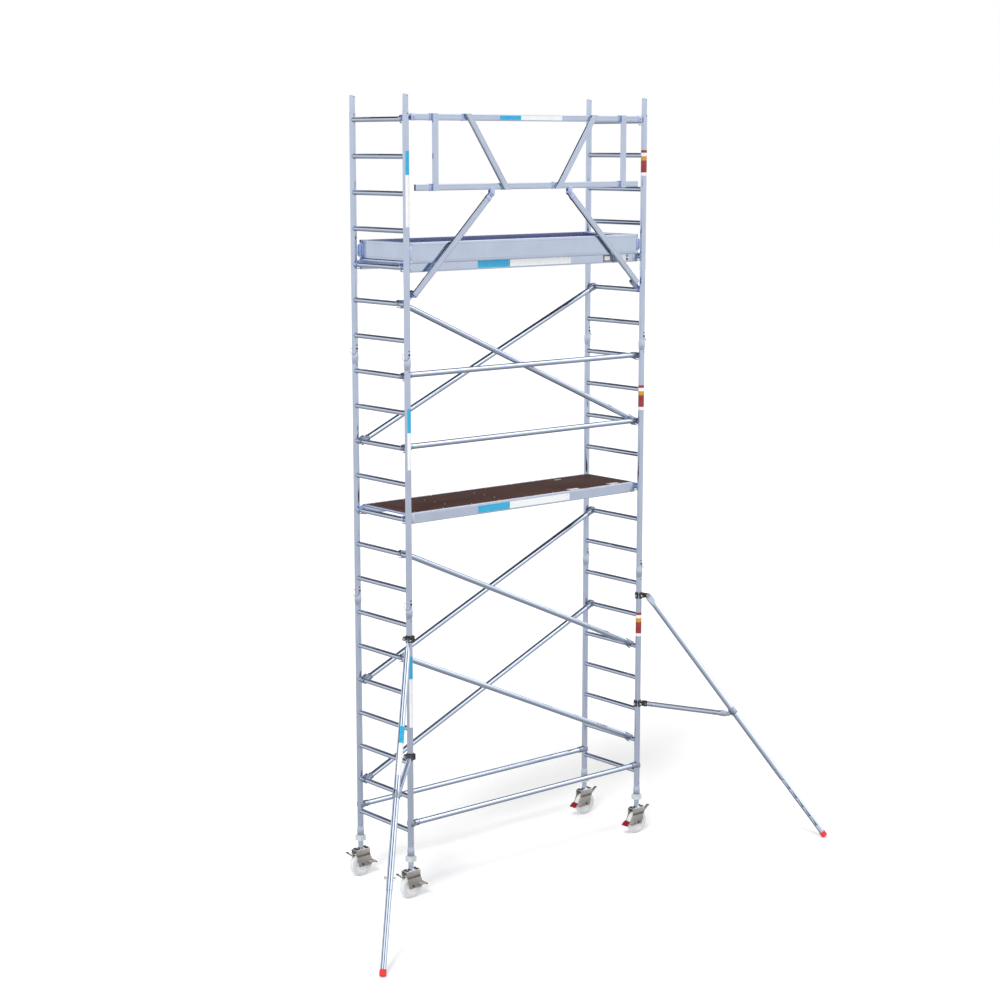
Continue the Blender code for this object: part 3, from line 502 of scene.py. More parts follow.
def weld(piece, height, sign, material):
    """The rippled bead where a rung meets an upright."""
    around = 44
    rings = []
    for i in range(around):
        angle = math.tau * i / around
        x = RUNG_R * math.cos(angle)
        z = RUNG_R * math.sin(angle)
        y = HALF_WIDTH - math.sqrt(UPRIGHT_R**2 - x**2)
        size = 0.0021 * (1 + 0.16 * math.sin(angle * 15))
        outward = Vector((math.cos(angle), 0, math.sin(angle)))
        ring = []
        for k in range(6):
            twist = math.tau * k / 6
            offset = outward * math.cos(twist) + Vector((0, -1, 0)) * math.sin(twist)
            point = Vector((x, y, z + height)) + offset * size * 1.25
            ring.append(Vector((point.x, point.y * sign, point.z)))
        rings.append(ring)
    piece.loft(rings, material, closed=True)


def frame_mesh():
    top_rung = (RUNGS_PER_FRAME - 1) * RUNG_PITCH
    uprights = Piece("uprights", DRAWN_Z)
    cutters = Piece("cutters", DRAWN_Z)
    for sign in (-1, 1):
        matrix = shift(y=sign * HALF_WIDTH)
        uprights.turned(upright_profile(), 48, matrix, closed=True)
        for height in (top_rung + PIN_HOLE, PIN_HOLE - RUNG_PITCH):
            y = sign * HALF_WIDTH
            cutters.rod((0, y - 0.06, height), (0, y + 0.06, height), 0.0052, sides=16)
    drilled = cut(uprights.mesh(), cutters.mesh())
    piece = Piece("ladder_frame", DRAWN_Z, DRAWN_Y, CAST, SPRING)
    piece.bm.from_mesh(drilled)
    for number in range(RUNGS_PER_FRAME):
        height = number * RUNG_PITCH
        reach = HALF_WIDTH - 0.012
        piece.rod((0, -reach, height), (0, reach, height), RUNG_R, material=1, sides=SMOOTH)
        for sign in (-1, 1):
            weld(piece, height, sign, 2)
    for sign in (-1, 1):
        for side in (-1, 1):
            point = (0, sign * HALF_WIDTH + side * UPRIGHT_R, top_rung + 0.042)
            piece.rivet(point, (0, side, 0), 0.0055, 3)
    return piece.mesh()


def add_frames():
    mesh = frame_mesh()
    for side, sign in SIDES.items():
        for index, level in enumerate(LEVELS):
            node = f"{side}_frame_{level}"
            at = shift(sign * HALF_LENGTH, 0, rung_z(1 + index * RUNGS_PER_FRAME))
            place(f"{side}_ladder_{level}", mesh, "tower", "aluminium", node, matrix=at)


def add_locking_pins():
    """A sprung pin through each spigot joint, its wire slung round the outside of the tube."""
    for side, sign in SIDES.items():
        piece = Piece(f"{side}_locking_pins", BRIGHT, DARK, SPRING)
        for level in (1, 2):
            height = rung_z(level * RUNGS_PER_FRAME) + PIN_HOLE
            for depth in DEPTHS.values():
                x = sign * HALF_LENGTH
                y = depth * HALF_WIDTH
                piece.rod((x, y - 0.034, height), (x, y + 0.032, height), 0.0045, 0, 16, 0.001)
                piece.rod((x, y - 0.034, height), (x, y - 0.029, height), 0.0072, 1, 20, 0.001)
                # At the spare hole a dark steel disc stands proud of the tube: painted shade for the
                # hole, which is not drilled.
                spare = height + SPARE_HOLE_LIFT
                piece.rod((x, y - 0.0272, spare), (x, y - 0.0235, spare), 0.0060, 1, 16, 0.0008)
                loop = []
                for i in range(37):
                    share = i / 36
                    angle = math.radians(-90 + sign * 180 * share)
                    reach = 0.0315 + 0.010 * math.sin(math.pi * share)
                    drop = 0.044 * math.sin(math.pi * min(1.0, share / 0.66)) ** 0.7
                    loop.append((x + reach * math.cos(angle), y + reach * math.sin(angle), height - drop))
                piece.wire(loop, 0.0017, 2, 8)
        piece.place("tower", "bright_steel")


# ---------------------------------------------------------------- braces


def hook(piece, centre, held_r, width, span, facing, wall, material, matrix=Matrix()):
    """A cast C-hook round a bar along Y, thicker at its back than at its lips."""
    inner = held_r + 0.0006
    start = facing - span / 2
    steps = 26
    outside = []
    for i in range(steps + 1):
        angle = start + span * i / steps
        share = math.sin(math.pi * i / steps)
        radius = inner + wall * (0.72 + 0.38 * share)
        outside.append(arc(centre, radius, angle, angle, 1)[0])
    inside = arc(centre, inner, start + span, start, steps)
    piece.prism(outside + inside, -width / 2, width / 2, 0.0016, matrix, material)


def claw_end(piece, matrix, held_r, rise, cast=1, steel=2):
    """A cast claw about the origin, its socket along local X, its hook open downwards."""
    hook(piece, (0, 0), held_r, 0.034, 240, 90, 0.0105, cast, matrix)
    lift = matrix @ shift(z=rise)
    socket = [
        (0.0236, 0.021), (0.0262, 0.023), (0.0268, 0.030), (0.0262, 0.058), (0.0268, 0.060),
        (0.0268, 0.068), (0.0240, 0.072), (0.0226, 0.0725),
    ]
    piece.turned(socket, SMOOTH, lift @ turn(90, "Y"), cast)
    for sign in (-1, 1):
        cheek = [(-0.012, 0.031), (0.020, 0.034), (0.046, 0.0335), (0.050, 0.012), (0.022, -0.006)]
        piece.prism(cheek, sign * 0.0155, sign * 0.0195, 0.0012, matrix, cast)
    lever = [
        (0.052, -0.012), (0.046, -0.019), (0.030, -0.026), (0.012, -0.031), (-0.006, -0.0335),
        (-0.014, -0.030), (-0.006, -0.0285), (0.010, -0.0255), (0.024, -0.019), (0.034, -0.012),
    ]
    piece.prism(lever, -0.0085, 0.0085, 0.001, matrix, steel)
    for sign in (-1, 1):
        point = matrix @ Vector((0.040, sign * 0.0195, 0.006))
        piece.rivet(point, matrix.to_3x3() @ Vector((0, sign, 0)), 0.004, steel)


def brace_mesh(name, rise, lift=BRACE_LIFT):
    """A brace about its middle, lying along local X once its slope is taken out."""
    half = math.hypot(HALF_LENGTH, rise / 2)
    piece = Piece(name, DRAWN_X, CAST, CLAW_STEEL)
    start = (-half + 0.030, 0, lift)
    end = (half - 0.030, 0, lift)
    piece.pipe(start, end, BRACE_R, 0.002)
    for sign in (-1, 1):
        lean = turn(180, "Z") if sign > 0 else Matrix()
        claw_end(piece, shift(x=sign * half) @ lean, RUNG_R, lift)
    return piece.mesh()


def add_braces():
    rise = 4 * RUNG_PITCH
    slope = math.degrees(math.atan2(rise / 2, HALF_LENGTH))
    back = brace_mesh("back_brace", rise, BACK_BRACE_LIFT)
    sloped = {"back": back, "front": brace_mesh("front_brace", rise)}
    for name, rung in {"lower": 2, "middle": 5, "upper": 12}.items():
        for depth, mesh in sloped.items():
            node = f"{depth}_diagonal_{name}"
            way = turn(180 if depth == "front" else 0, "Z")
            at = shift(0, middle(node).y - TOWER_Y, rung_z(rung + 2)) @ way @ turn(-slope, "Y")
            place(f"{depth}_brace_{name}", mesh, "tower", "aluminium", node, matrix=at)
    mesh = brace_mesh("level_brace", 0)
    for name, rung in {"lower": 12, "upper": 14}.items():
        node = f"front_horizontal_{name}"
        at = shift(0, middle(node).y - TOWER_Y, rung_z(rung))
        place(f"level_brace_{name}", mesh, "tower", "aluminium", node, matrix=at)


def base_brace_mesh():
    piece = Piece("base_brace", DRAWN_X, CAST, CLAW_STEEL)
    stop = HALF_LENGTH - 0.034
    piece.pipe((-stop, 0, 0), (stop, 0, 0), BRACE_R, 0.002)
    for sign in (-1, 1):
        flip = turn(180, "Z") if sign > 0 else Matrix()
        matrix = shift(x=sign * HALF_LENGTH) @ flip
        lay = matrix @ turn(90, "X")
        hook(piece, (0, 0), UPRIGHT_R, 0.040, 235, 0, 0.0105, 1, lay)
        socket = [(0.0262, 0.034), (0.0268, 0.040), (0.0262, 0.068), (0.0268, 0.070)]
        socket += [(0.0240, 0.078), (0.0226, 0.0785)]
        piece.turned(socket, SMOOTH, matrix @ turn(90, "Y"), 1)
        for side in (-1, 1):
            lug = [(0.012, 0.026), (0.040, 0.030), (0.060, 0.025), (0.036, 0.020)]
            piece.prism([(x, side * y) for x, y in lug], -0.010, 0.010, 0.0012, lay, 1)
        lever = [(0.050, 0.026), (0.020, 0.040), (-0.006, 0.042), (-0.008, 0.038)]
        lever += [(0.018, 0.036), (0.046, 0.022)]
        piece.prism(lever, -0.008, 0.008, 0.001, lay, 2)
    return piece.mesh()


def add_base_braces():
    mesh = base_brace_mesh()
    for depth, sign in DEPTHS.items():
        node = f"base_horizontal_{depth}"
        at = shift(0, sign * HALF_WIDTH, middle(node).z)
        place(f"base_brace_{depth}", mesh, "tower", "aluminium", node, matrix=at)


# ---------------------------------------------------------------- sections and small castings


def extrude(piece, outline, low, high, axis="X", material=0, centre=(0, 0)):
    """A bar whose section is given across its axis: (y, z), (x, z) or (x, y)."""
    place_at = {
        "X": lambda a, b, c: Vector((c, a, b)),
        "Y": lambda a, b, c: Vector((a, c, b)),
        "Z": lambda a, b, c: Vector((a, b, c)),
    }[axis]
    section = [(a + centre[0], b + centre[1]) for a, b in outline]
    rings = [[place_at(a, b, level) for a, b in section] for level in sorted((low, high))]
    piece.loft(rings, material)


def bar_outline(depth, height, radius, grooves=(), groove=0.0012):
    """A round-cornered bar section with fine grooves across its two broad faces."""
    half_a = depth / 2
    half_b = height / 2
    points = []
    for sign in (1, -1):
        for level in sorted(grooves, reverse=sign < 0):
            points.append((sign * half_a, level - sign * groove))
            points.append((sign * (half_a - groove), level))
            points.append((sign * half_a, level + sign * groove))
        first = 0 if sign > 0 else 180
        near = (sign * (half_a - radius), sign * (half_b - radius))
        far = (-near[0], near[1])
        points += arc(near, radius, first, first + 90, 3)
        points += arc(far, radius, first + 90, first + 180, 3)
    return points


def softened(outline, radius, steps=3):
    """The outline with its corners rounded."""
    points = []
    count = len(outline)
    for i, corner in enumerate(outline):
        here = Vector(corner)
        before = Vector(outline[i - 1]) - here
        after = Vector(outline[(i + 1) % count]) - here
        reach = min(radius, before.length * 0.45, after.length * 0.45)
        start = here + before.normalized() * reach
        end = here + after.normalized() * reach
        for k in range(steps + 1):
            t = k / steps
            points.append(tuple(start * (1 - t) ** 2 + here * 2 * t * (1 - t) + end * t**2))
    return points


def trigger(piece, matrix, reach, material):
    """A wind-lock lever under a hooked rung, with its finger end turned down."""
    lever = [
        (-reach * 0.55, -0.0245), (-reach * 0.30, -0.0285), (reach * 0.50, -0.0275),
        (reach, -0.0180), (reach * 1.05, -0.0225), (reach * 0.60, -0.0330),
        (-reach * 0.35, -0.0345), (-reach * 0.70, -0.0300),
    ]
    piece.prism(softened(lever, 0.004), -0.006, 0.006, 0.0008, matrix, material)


# ---------------------------------------------------------------- platforms

BEAM_Y = 0.305
BEAM_THICKNESS = 0.028
BEAM_BOTTOM = -0.040
DECK_TOP = 0.044
DECK_THICKNESS = 0.012
BEAM_END_X = 1.2175
CROSS_MEMBER = 0.030
END_LIP = 0.006
END_LIP_HEIGHT = 0.017
CROSS_MEMBER_X = (-0.720, -0.200, 0.440, 1.120)
HATCH_X = (0.440, 1.120)
HATCH_Y = (-0.256, 0.222)
HATCH_GAP = 0.003
HATCH_HINGES = (0.555, 1.010)
HATCH_LATCH = 0.790


def platform_frame_mesh():
    piece = Piece("platform_frame", DRAWN_X, BLUE_REFLECTION_CAST, BRIGHT, CLAW_STEEL)
    reach = BEAM_Y - BEAM_THICKNESS + 0.002
    centre_z = (DECK_TOP + BEAM_BOTTOM) / 2
    beam = bar_outline(BEAM_THICKNESS, DECK_TOP - BEAM_BOTTOM, 0.0025, (-0.031, 0.030), 0.001)
    middle_y = BEAM_Y - BEAM_THICKNESS / 2
    for sign in (-1, 1):
        extrude(piece, beam, -BEAM_END_X, BEAM_END_X, centre=(sign * middle_y, centre_z))
    ledge = DECK_TOP - DECK_THICKNESS - GAP
    depth = ledge - BEAM_BOTTOM - 0.006
    cross = bar_outline(CROSS_MEMBER, depth, 0.003, (-0.015, 0.015), 0.001)
    for x in CROSS_MEMBER_X:
        extrude(piece, cross, -reach, reach, "Y", centre=(x, ledge - depth / 2))
    lip = bar_outline(END_LIP, END_LIP_HEIGHT, 0.0015)
    shelf = bar_outline(CROSS_MEMBER, END_LIP_HEIGHT - DECK_THICKNESS, 0.0010)
    for end in (-1, 1):
        at = (end * (BEAM_END_X - END_LIP / 2), DECK_TOP - END_LIP_HEIGHT / 2)
        extrude(piece, lip, -reach, reach, "Y", 1, at)
        x = end * (BEAM_END_X - CROSS_MEMBER / 2 - 0.001)
        at = (x, (ledge + DECK_TOP - END_LIP_HEIGHT) / 2)
        extrude(piece, shelf, -reach, reach, "Y", 1, at)
        for sign in (-1, 1):
            corner_casting(piece, end, sign * middle_y, sign)
    for sign in (-1, 1):
        for x in CROSS_MEMBER_X:
            for lift in (-0.018, 0.012):
                piece.rivet((x, sign * BEAM_Y, lift), (0, sign, 0), 0.0042, 2)
    return piece.mesh()


def corner_casting(piece, end, y, sign):
    """The cast claw in a beam's end that hooks over the rung, with its bolts and wind lock."""
    flip = turn(180, "Z") if end < 0 else Matrix()
    at_rung = shift(end * HALF_LENGTH, y) @ flip
    hook(piece, (0, 0), RUNG_R, BEAM_THICKNESS - 0.002, 235, 90, 0.0105, 1, at_rung)
    arm = [
        (-0.070, -0.034), (-0.050, -0.036), (-0.031, -0.020), (-0.0225, -0.004), (-0.0225, 0.010),
        (-0.014, 0.022), (-0.006, 0.0325), (-0.040, 0.038), (-0.070, 0.038),
    ]
    half = BEAM_THICKNESS / 2 - 0.0012
    piece.prism(softened(arm, 0.004), -half, half, 0.0015, at_rung, 1)
    face = half + 0.0025
    cheek = [(-0.088, -0.030), (-0.050, -0.032), (-0.042, 0.000), (-0.050, 0.034), (-0.088, 0.034)]
    outer = sign * end if end < 0 else sign
    piece.prism(softened(cheek, 0.005), outer * (half + 0.0005), outer * face, 0.0006, at_rung, 0)
    for lift in (-0.016, 0.018):
        point = at_rung @ Vector((-0.066, outer * face, lift))
        piece.rivet(point, at_rung.to_3x3() @ Vector((0, outer, 0)), 0.0052, 2)
    trigger(piece, at_rung @ shift(x=-0.004), 0.026, 3)


def board_piece(name, low, high, opening=None):
    """A film-faced board: dark print on its faces, plies along its edges."""
    solid = Piece("board", BOARD, PLY)
    solid.block(low, high, 0.0010)
    mesh = solid.mesh()
    if opening:
        cutter = Piece("opening", BOARD, PLY)
        cutter.block(*opening, 0)
        mesh = cut(mesh, cutter.mesh())
    piece = Piece(name, BOARD, PLY, PALE_ZINC)
    piece.bm.from_mesh(mesh)
    for face in piece.bm.faces:
        face.material_index = 0 if abs(face.normal.z) > 0.8 else 1
    return piece


def deck_mesh():
    half_x = BEAM_END_X - END_LIP - GAP
    half_y = BEAM_Y - BEAM_THICKNESS - GAP
    bottom = DECK_TOP - DECK_THICKNESS
    low = (HATCH_X[0] - HATCH_GAP, HATCH_Y[0] - HATCH_GAP, bottom - 0.01)
    high = (HATCH_X[1] + HATCH_GAP, HATCH_Y[1] + HATCH_GAP, DECK_TOP + 0.01)
    piece = board_piece("deck", (-half_x, -half_y, bottom), (half_x, half_y, DECK_TOP), (low, high))
    up = (0, 0, 1)
    for x in (-1.13, -0.84, -0.55, -0.26, 0.03, 0.32):
        for sign in (-1, 1):
            piece.rivet((x, sign * (half_y - 0.014), DECK_TOP), up, 0.0055, 2)
    for x in (0.56, 0.80, 1.04, 1.138):
        piece.rivet((x, half_y - 0.014, DECK_TOP), up, 0.0055, 2)
    for x in CROSS_MEMBER_X[:2]:
        for y in (-0.13, 0.0, 0.13):
            piece.rivet((x, y, DECK_TOP), up, 0.0045, 2)
    return piece.mesh()


def hinge_leaf(piece, x, side, knuckles, half_knuckle, material):
    """A leaf on one side of the hinge line, with its knuckles and rivets."""
    leaf = rounded(0.056, 0.014, 0.004)
    extrude(piece, leaf, 0.0003, 0.0024, "Z", material, (x, side * 0.0165))
    for place_in_row in knuckles:
        near = x + place_in_row * 0.022 - half_knuckle
        piece.rod((near, 0, 0.001), (near + 2 * half_knuckle, 0, 0.001), 0.0042, material, 16, 0.0006)
    for step in (-0.038, 0.0, 0.038):
        piece.rivet((x + step, side * 0.019, 0.0024), (0, 0, 1), 0.0042, material)


def hatch_mesh():
    """The trapdoor about the middle of its hinge line, with its hinge leaves and latch."""
    middle_x = sum(HATCH_X) / 2
    size_x = (HATCH_X[1] - HATCH_X[0]) / 2
    size_y = HATCH_Y[1] - HATCH_Y[0]
    piece = board_piece("hatch", (-size_x, 0, -DECK_THICKNESS), (size_x, size_y, 0))
    for x in HATCH_HINGES:
        hinge_leaf(piece, x - middle_x, 1, (-2, 0, 2), 0.010, 2)
    latch = HATCH_LATCH - middle_x
    plate = rounded(0.034, 0.012, 0.004, centre=(latch, size_y - 0.018))
    extrude(piece, plate, 0.0003, 0.0018, "Z", 2)
    for k in (-0.022, 0.022):
        piece.rivet((latch + k, size_y - 0.018, 0.0018), (0, 0, 1), 0.006, 2)
    hold = rounded(0.045, 0.016, 0.010, centre=(latch, size_y - 0.040))
    extrude(piece, hold, -DECK_THICKNESS - 0.006, -DECK_THICKNESS - 0.0002, "Z", 2)
    return piece.mesh()


def hinge_leaves_mesh():
    """The fixed leaves of the trapdoor's hinges, on the beam in front of it."""
    piece = Piece("hinge_leaves", PALE_ZINC)
    for x in HATCH_HINGES:
        hinge_leaf(piece, x - sum(HATCH_X) / 2, -1, (-1, 1), 0.0105, 0)
    return piece.mesh()


def add_platforms():
    beams = platform_frame_mesh()
    deck = deck_mesh()
    hatch = hatch_mesh()
    leaves = hinge_leaves_mesh()
    for level in ("lower", "upper"):
        node = f"{level}_platform"
        own = f"{level}_hatch"
        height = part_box(f"{level}_platform_deck")[1].z - DECK_TOP
        at = shift(z=height)
        hinge = shift(sum(HATCH_X) / 2, HATCH_Y[0], height + DECK_TOP)
        place(f"{node}_beams", beams, "tower", "aluminium", f"{node}_frame", matrix=at)
        place(f"{level}_deck_board", deck, "tower", "deck_board", f"{node}_deck", matrix=at)
        place(f"{level}_trapdoor", hatch, own, "deck_board", own, matrix=hinge)
        place(f"{level}_hinge_leaves", leaves, "tower", "bright_steel", matrix=hinge)


# ---------------------------------------------------------------- toe boards

TOE_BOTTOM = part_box("toe_board_front")[0].z
TOE_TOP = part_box("toe_board_front")[1].z
TOE_END_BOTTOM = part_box("toe_board_left")[0].z
TOE_THICKNESS = 0.020
TOE_HALF_LENGTH = 1.205
TOE_INNER = BEAM_Y + GAP


def toe_outline(height):
    """A toe board's section: a bead along its top and two fine lines along its faces."""
    return bar_outline(TOE_THICKNESS, height, 0.004, (-height * 0.36, height * 0.36), 0.0009)


def add_toe_boards():
    height = TOE_TOP - TOE_BOTTOM
    level = (TOE_TOP + TOE_BOTTOM) / 2
    for depth, sign in DEPTHS.items():
        piece = Piece(f"{depth}_toe_board", DRAWN_X, DRAWN_Z, BLUE_REFLECTION_CAST, TOE_INNER_SHADE)
        y = sign * (TOE_INNER + TOE_THICKNESS / 2)
        cap = 0.005
        reach = TOE_HALF_LENGTH - cap
        extrude(piece, toe_outline(height), -reach, reach, centre=(y, level))
        piece.bm.normal_update()
        # The inner faces take the dark blue painted shade.
        for face in piece.bm.faces:
            if abs(face.calc_center_median().y - sign * TOE_INNER) < 0.002:
                face.material_index = 3
        for end in (-1, 1):
            outer = end * TOE_HALF_LENGTH
            grown = bar_outline(TOE_THICKNESS + 0.001, height + 0.001, 0.004)
            extrude(piece, grown, outer, outer - end * cap, "X", 1, (y, level))
            half = TOE_THICKNESS / 2 + 0.0009
            upper = (TOE_TOP - 0.020, TOE_TOP + 0.0008)
            lower = (TOE_BOTTOM - 0.0005, TOE_BOTTOM + 0.016)
            for low, high in (upper, lower):
                corner = (outer - end * 0.026, y + half, high)
                piece.block((outer, y - half, low), corner, 0.002, material=1)
            clip = [
                (end * 1.188, TOE_BOTTOM + 0.030), (end * 1.214, TOE_BOTTOM + 0.030),
                (end * 1.2235, TOE_BOTTOM + 0.042), (end * 1.2235, TOE_TOP - 0.046),
                (end * 1.214, TOE_TOP - 0.034), (end * 1.188, TOE_TOP - 0.034),
            ]
            face = sign * (TOE_INNER + TOE_THICKNESS + 0.0004)
            piece.prism(softened(clip, 0.004), face, face + sign * 0.003, 0.0008, material=2)
            for lift in (0.045, 0.100):
                point = (end * 1.197, face + sign * 0.003, TOE_BOTTOM + lift)
                piece.rivet(point, (0, sign, 0), 0.004, 2)
        piece.place("tower", "aluminium", f"toe_board_{depth}")
    end_height = TOE_TOP - TOE_END_BOTTOM
    end_level = (TOE_TOP + TOE_END_BOTTOM) / 2
    for side, sign in SIDES.items():
        piece = Piece(f"{side}_toe_board", DRAWN_Y, BLUE_REFLECTION_CAST)
        x = sign * (TOE_HALF_LENGTH - TOE_THICKNESS / 2)
        reach = TOE_INNER - GAP
        extrude(piece, toe_outline(end_height), -reach, reach, "Y", centre=(x, end_level))
        for depth in (-1, 1):
            bracket = [(-0.012, -0.045), (0.012, -0.045), (0.012, 0.045), (-0.012, 0.045)]
            face = sign * (TOE_HALF_LENGTH + 0.0003)
            at = shift(face, depth * (reach - 0.016), end_level) @ turn(90, "Z")
            piece.prism(softened(bracket, 0.004), 0, -sign * 0.003, 0.0006, at, 1)
            for lift in (-0.028, 0.028):
                point = (face + sign * 0.003, depth * (reach - 0.016), end_level + lift)
                piece.rivet(point, (sign, 0, 0), 0.004, 1)
        piece.place("tower", "aluminium", f"toe_board_{side}")


# ---------------------------------------------------------------- guardrail

RAIL_HEIGHT = 0.050
RAIL_THICKNESS = 0.022
RAIL_Y = -0.345
TOP_RAIL_Z = 6.172
LOWER_RAIL_Z = 5.642
TOP_RAIL_HALF = 1.207
LOWER_RAIL_HALF = 1.170
POST_X = 0.987
DIAGONAL_TOP_X = 0.665
DIAGONAL_BOTTOM_X = 0.267
RAIL_HOOK_Y = -0.297
RAIL_HOOK_WIDTH = 0.028
STRUT_PIVOT = (0.410, 5.585)
STRUT_RUNG = 16
RAIL_GROOVES = (-0.0135, 0.0135)


def rail_section(depth=RAIL_THICKNESS, height=RAIL_HEIGHT):
    return bar_outline(depth, height, 0.004, RAIL_GROOVES, 0.0009)


def saddle(piece, x, z, material):
    """A folded clip that holds a post's end against the rail's face; its blue cast colour is a painted
    reflection.
    """
    front = RAIL_Y - RAIL_THICKNESS / 2
    for lift in (-0.026, 0.026):
        low = (x - 0.010, front - 0.012, z + lift - 0.0015)
        high = (x + 0.010, RAIL_Y + 0.008, z + lift + 0.0015)
        piece.block(low, high, 0.0008, material=material)
    low = (x - 0.010, front - 0.0030, z - 0.0265)
    piece.block(low, (x + 0.010, front - 0.0003, z + 0.0265), 0.0008, material=material)
    piece.rivet((x, front - 0.003, z), (0, -1, 0), 0.0045, material)


def rail_hook(piece, sign):
    """The cast arm at a top rail's end, stepped back to hook over the top rung."""
    rung = rung_z(RUNGS_PER_FRAME * len(LEVELS))
    flip = turn(180, "Z") if sign < 0 else Matrix()
    at = shift(sign * HALF_LENGTH, RAIL_HOOK_Y, rung) @ flip
    hook(piece, (0, 0), RUNG_R, RAIL_HOOK_WIDTH, 235, 90, 0.0105, 2, at)
    low = TOP_RAIL_Z - RAIL_HEIGHT / 2 + 0.004 - rung
    high = TOP_RAIL_Z + RAIL_HEIGHT / 2 - 0.008 - rung
    arm = [(-0.072, low), (-0.030, low), (-0.0225, low + 0.008), (-0.0225, 0.010)]
    arm += [(-0.012, 0.024), (-0.020, high), (-0.072, high)]
    half = RAIL_HOOK_WIDTH / 2
    piece.prism(softened(arm, 0.004), -half, half, 0.0015, at, 2)
    step_low = (sign * 1.165, RAIL_Y + RAIL_THICKNESS / 2 - 0.002, TOP_RAIL_Z - 0.021)
    step_high = (sign * (TOP_RAIL_HALF - 0.004), RAIL_HOOK_Y + half - 0.002, TOP_RAIL_Z + 0.016)
    piece.block(step_low, step_high, 0.003, material=2)
    front = RAIL_Y - RAIL_THICKNESS / 2
    back = RAIL_Y + RAIL_THICKNESS / 2
    plate_low = (sign * 1.164, front - 0.004, TOP_RAIL_Z - 0.0265)
    plate_high = (sign * (TOP_RAIL_HALF + 0.004), back + 0.001, TOP_RAIL_Z + 0.0265)
    piece.block(plate_low, plate_high, 0.003, material=2)
    piece.bolt((sign * 1.186, front - 0.004, TOP_RAIL_Z), (0, -1, 0), 0.0065, 0.004, 3)
    trigger(piece, at @ shift(x=-0.004), 0.024, 3)


def strut_bracket(piece, sign):
    x = sign * STRUT_PIVOT[0]
    z = STRUT_PIVOT[1]
    half = RAIL_THICKNESS / 2 + GAP * 2
    top = LOWER_RAIL_Z - RAIL_HEIGHT / 2
    root = top + 0.014 - z
    cheek = [(-0.022, root), (-0.022, -0.010), (-0.012, -0.021)]
    cheek += [(-a, b) for a, b in reversed(cheek)]
    for side in (-1, 1):
        outer = side * (half + 0.004)
        piece.prism(softened(cheek, 0.005), side * half, outer, 0.0008, shift(x, RAIL_Y, z), 2)
    low = (x - 0.021, RAIL_Y - half, top - 0.003)
    piece.block(low, (x + 0.021, RAIL_Y + half, top - 0.0003), 0.0006, material=2)
    for side in (-1, 1):
        start = (x, RAIL_Y + side * (half + 0.004), z)
        piece.bolt(start, (0, side, 0), 0.0085, 0.0055, 3)
        piece.rivet((x + side * 0.013, RAIL_Y - half - 0.004, top + 0.006), (0, -1, 0), 0.0035, 3)


def add_guardrail():
    piece = Piece("guardrail", DRAWN_X, DRAWN_Z, BLUE_REFLECTION_CAST, BRIGHT, CAP)
    section = rail_section()
    for z, half in ((TOP_RAIL_Z, TOP_RAIL_HALF), (LOWER_RAIL_Z, LOWER_RAIL_HALF)):
        extrude(piece, section, -half + 0.001, half - 0.001, centre=(RAIL_Y, z))
        for end in (-1, 1):
            cap = bar_outline(RAIL_THICKNESS - 0.005, RAIL_HEIGHT - 0.004, 0.003)
            extrude(piece, cap, end * half, end * (half - 0.003), "X", 4, (RAIL_Y, z))
    front = RAIL_Y - RAIL_THICKNESS / 2
    bottom = LOWER_RAIL_Z - RAIL_HEIGHT / 2 - 0.002
    top = TOP_RAIL_Z + RAIL_HEIGHT / 2 + 0.002
    face = front - RAIL_THICKNESS / 2 - 0.0003
    post = [(b, a) for a, b in section]
    lean = math.atan2(DIAGONAL_TOP_X - DIAGONAL_BOTTOM_X, top - bottom)
    for sign in (-1, 1):
        extrude(piece, post, bottom, top, "Z", 1, (sign * POST_X, face))
        rings = []
        for z, x, lift in ((bottom, DIAGONAL_BOTTOM_X, -0.0006), (top, DIAGONAL_TOP_X, 0.0006)):
            rings.append([Vector((a / math.cos(lean) + sign * x, b + face, z)) for a, b in post])
            for at, less in ((POST_X, (0.006, 0.006)), (x, (0.002, 0.005))):
                plug = bar_outline(RAIL_HEIGHT - less[0], RAIL_THICKNESS - less[1], 0.003)
                extrude(piece, plug, z - lift * 3, z + lift, "Z", 4, (sign * at, face))
        piece.loft(rings, 1)
        ends = (TOP_RAIL_Z, DIAGONAL_TOP_X, -0.036), (LOWER_RAIL_Z, DIAGONAL_BOTTOM_X, -0.040)
        for z, x, step in ends:
            for at, beside in ((sign * x, step), (sign * POST_X, -0.036)):
                saddle(piece, at + beside, z, 2)
                piece.rivet((at, face - RAIL_THICKNESS / 2, z), (0, -1, 0), 0.005, 3)
        rail_hook(piece, sign)
        strut_bracket(piece, sign)
    piece.place("tower", "aluminium", "guardrail_frame")


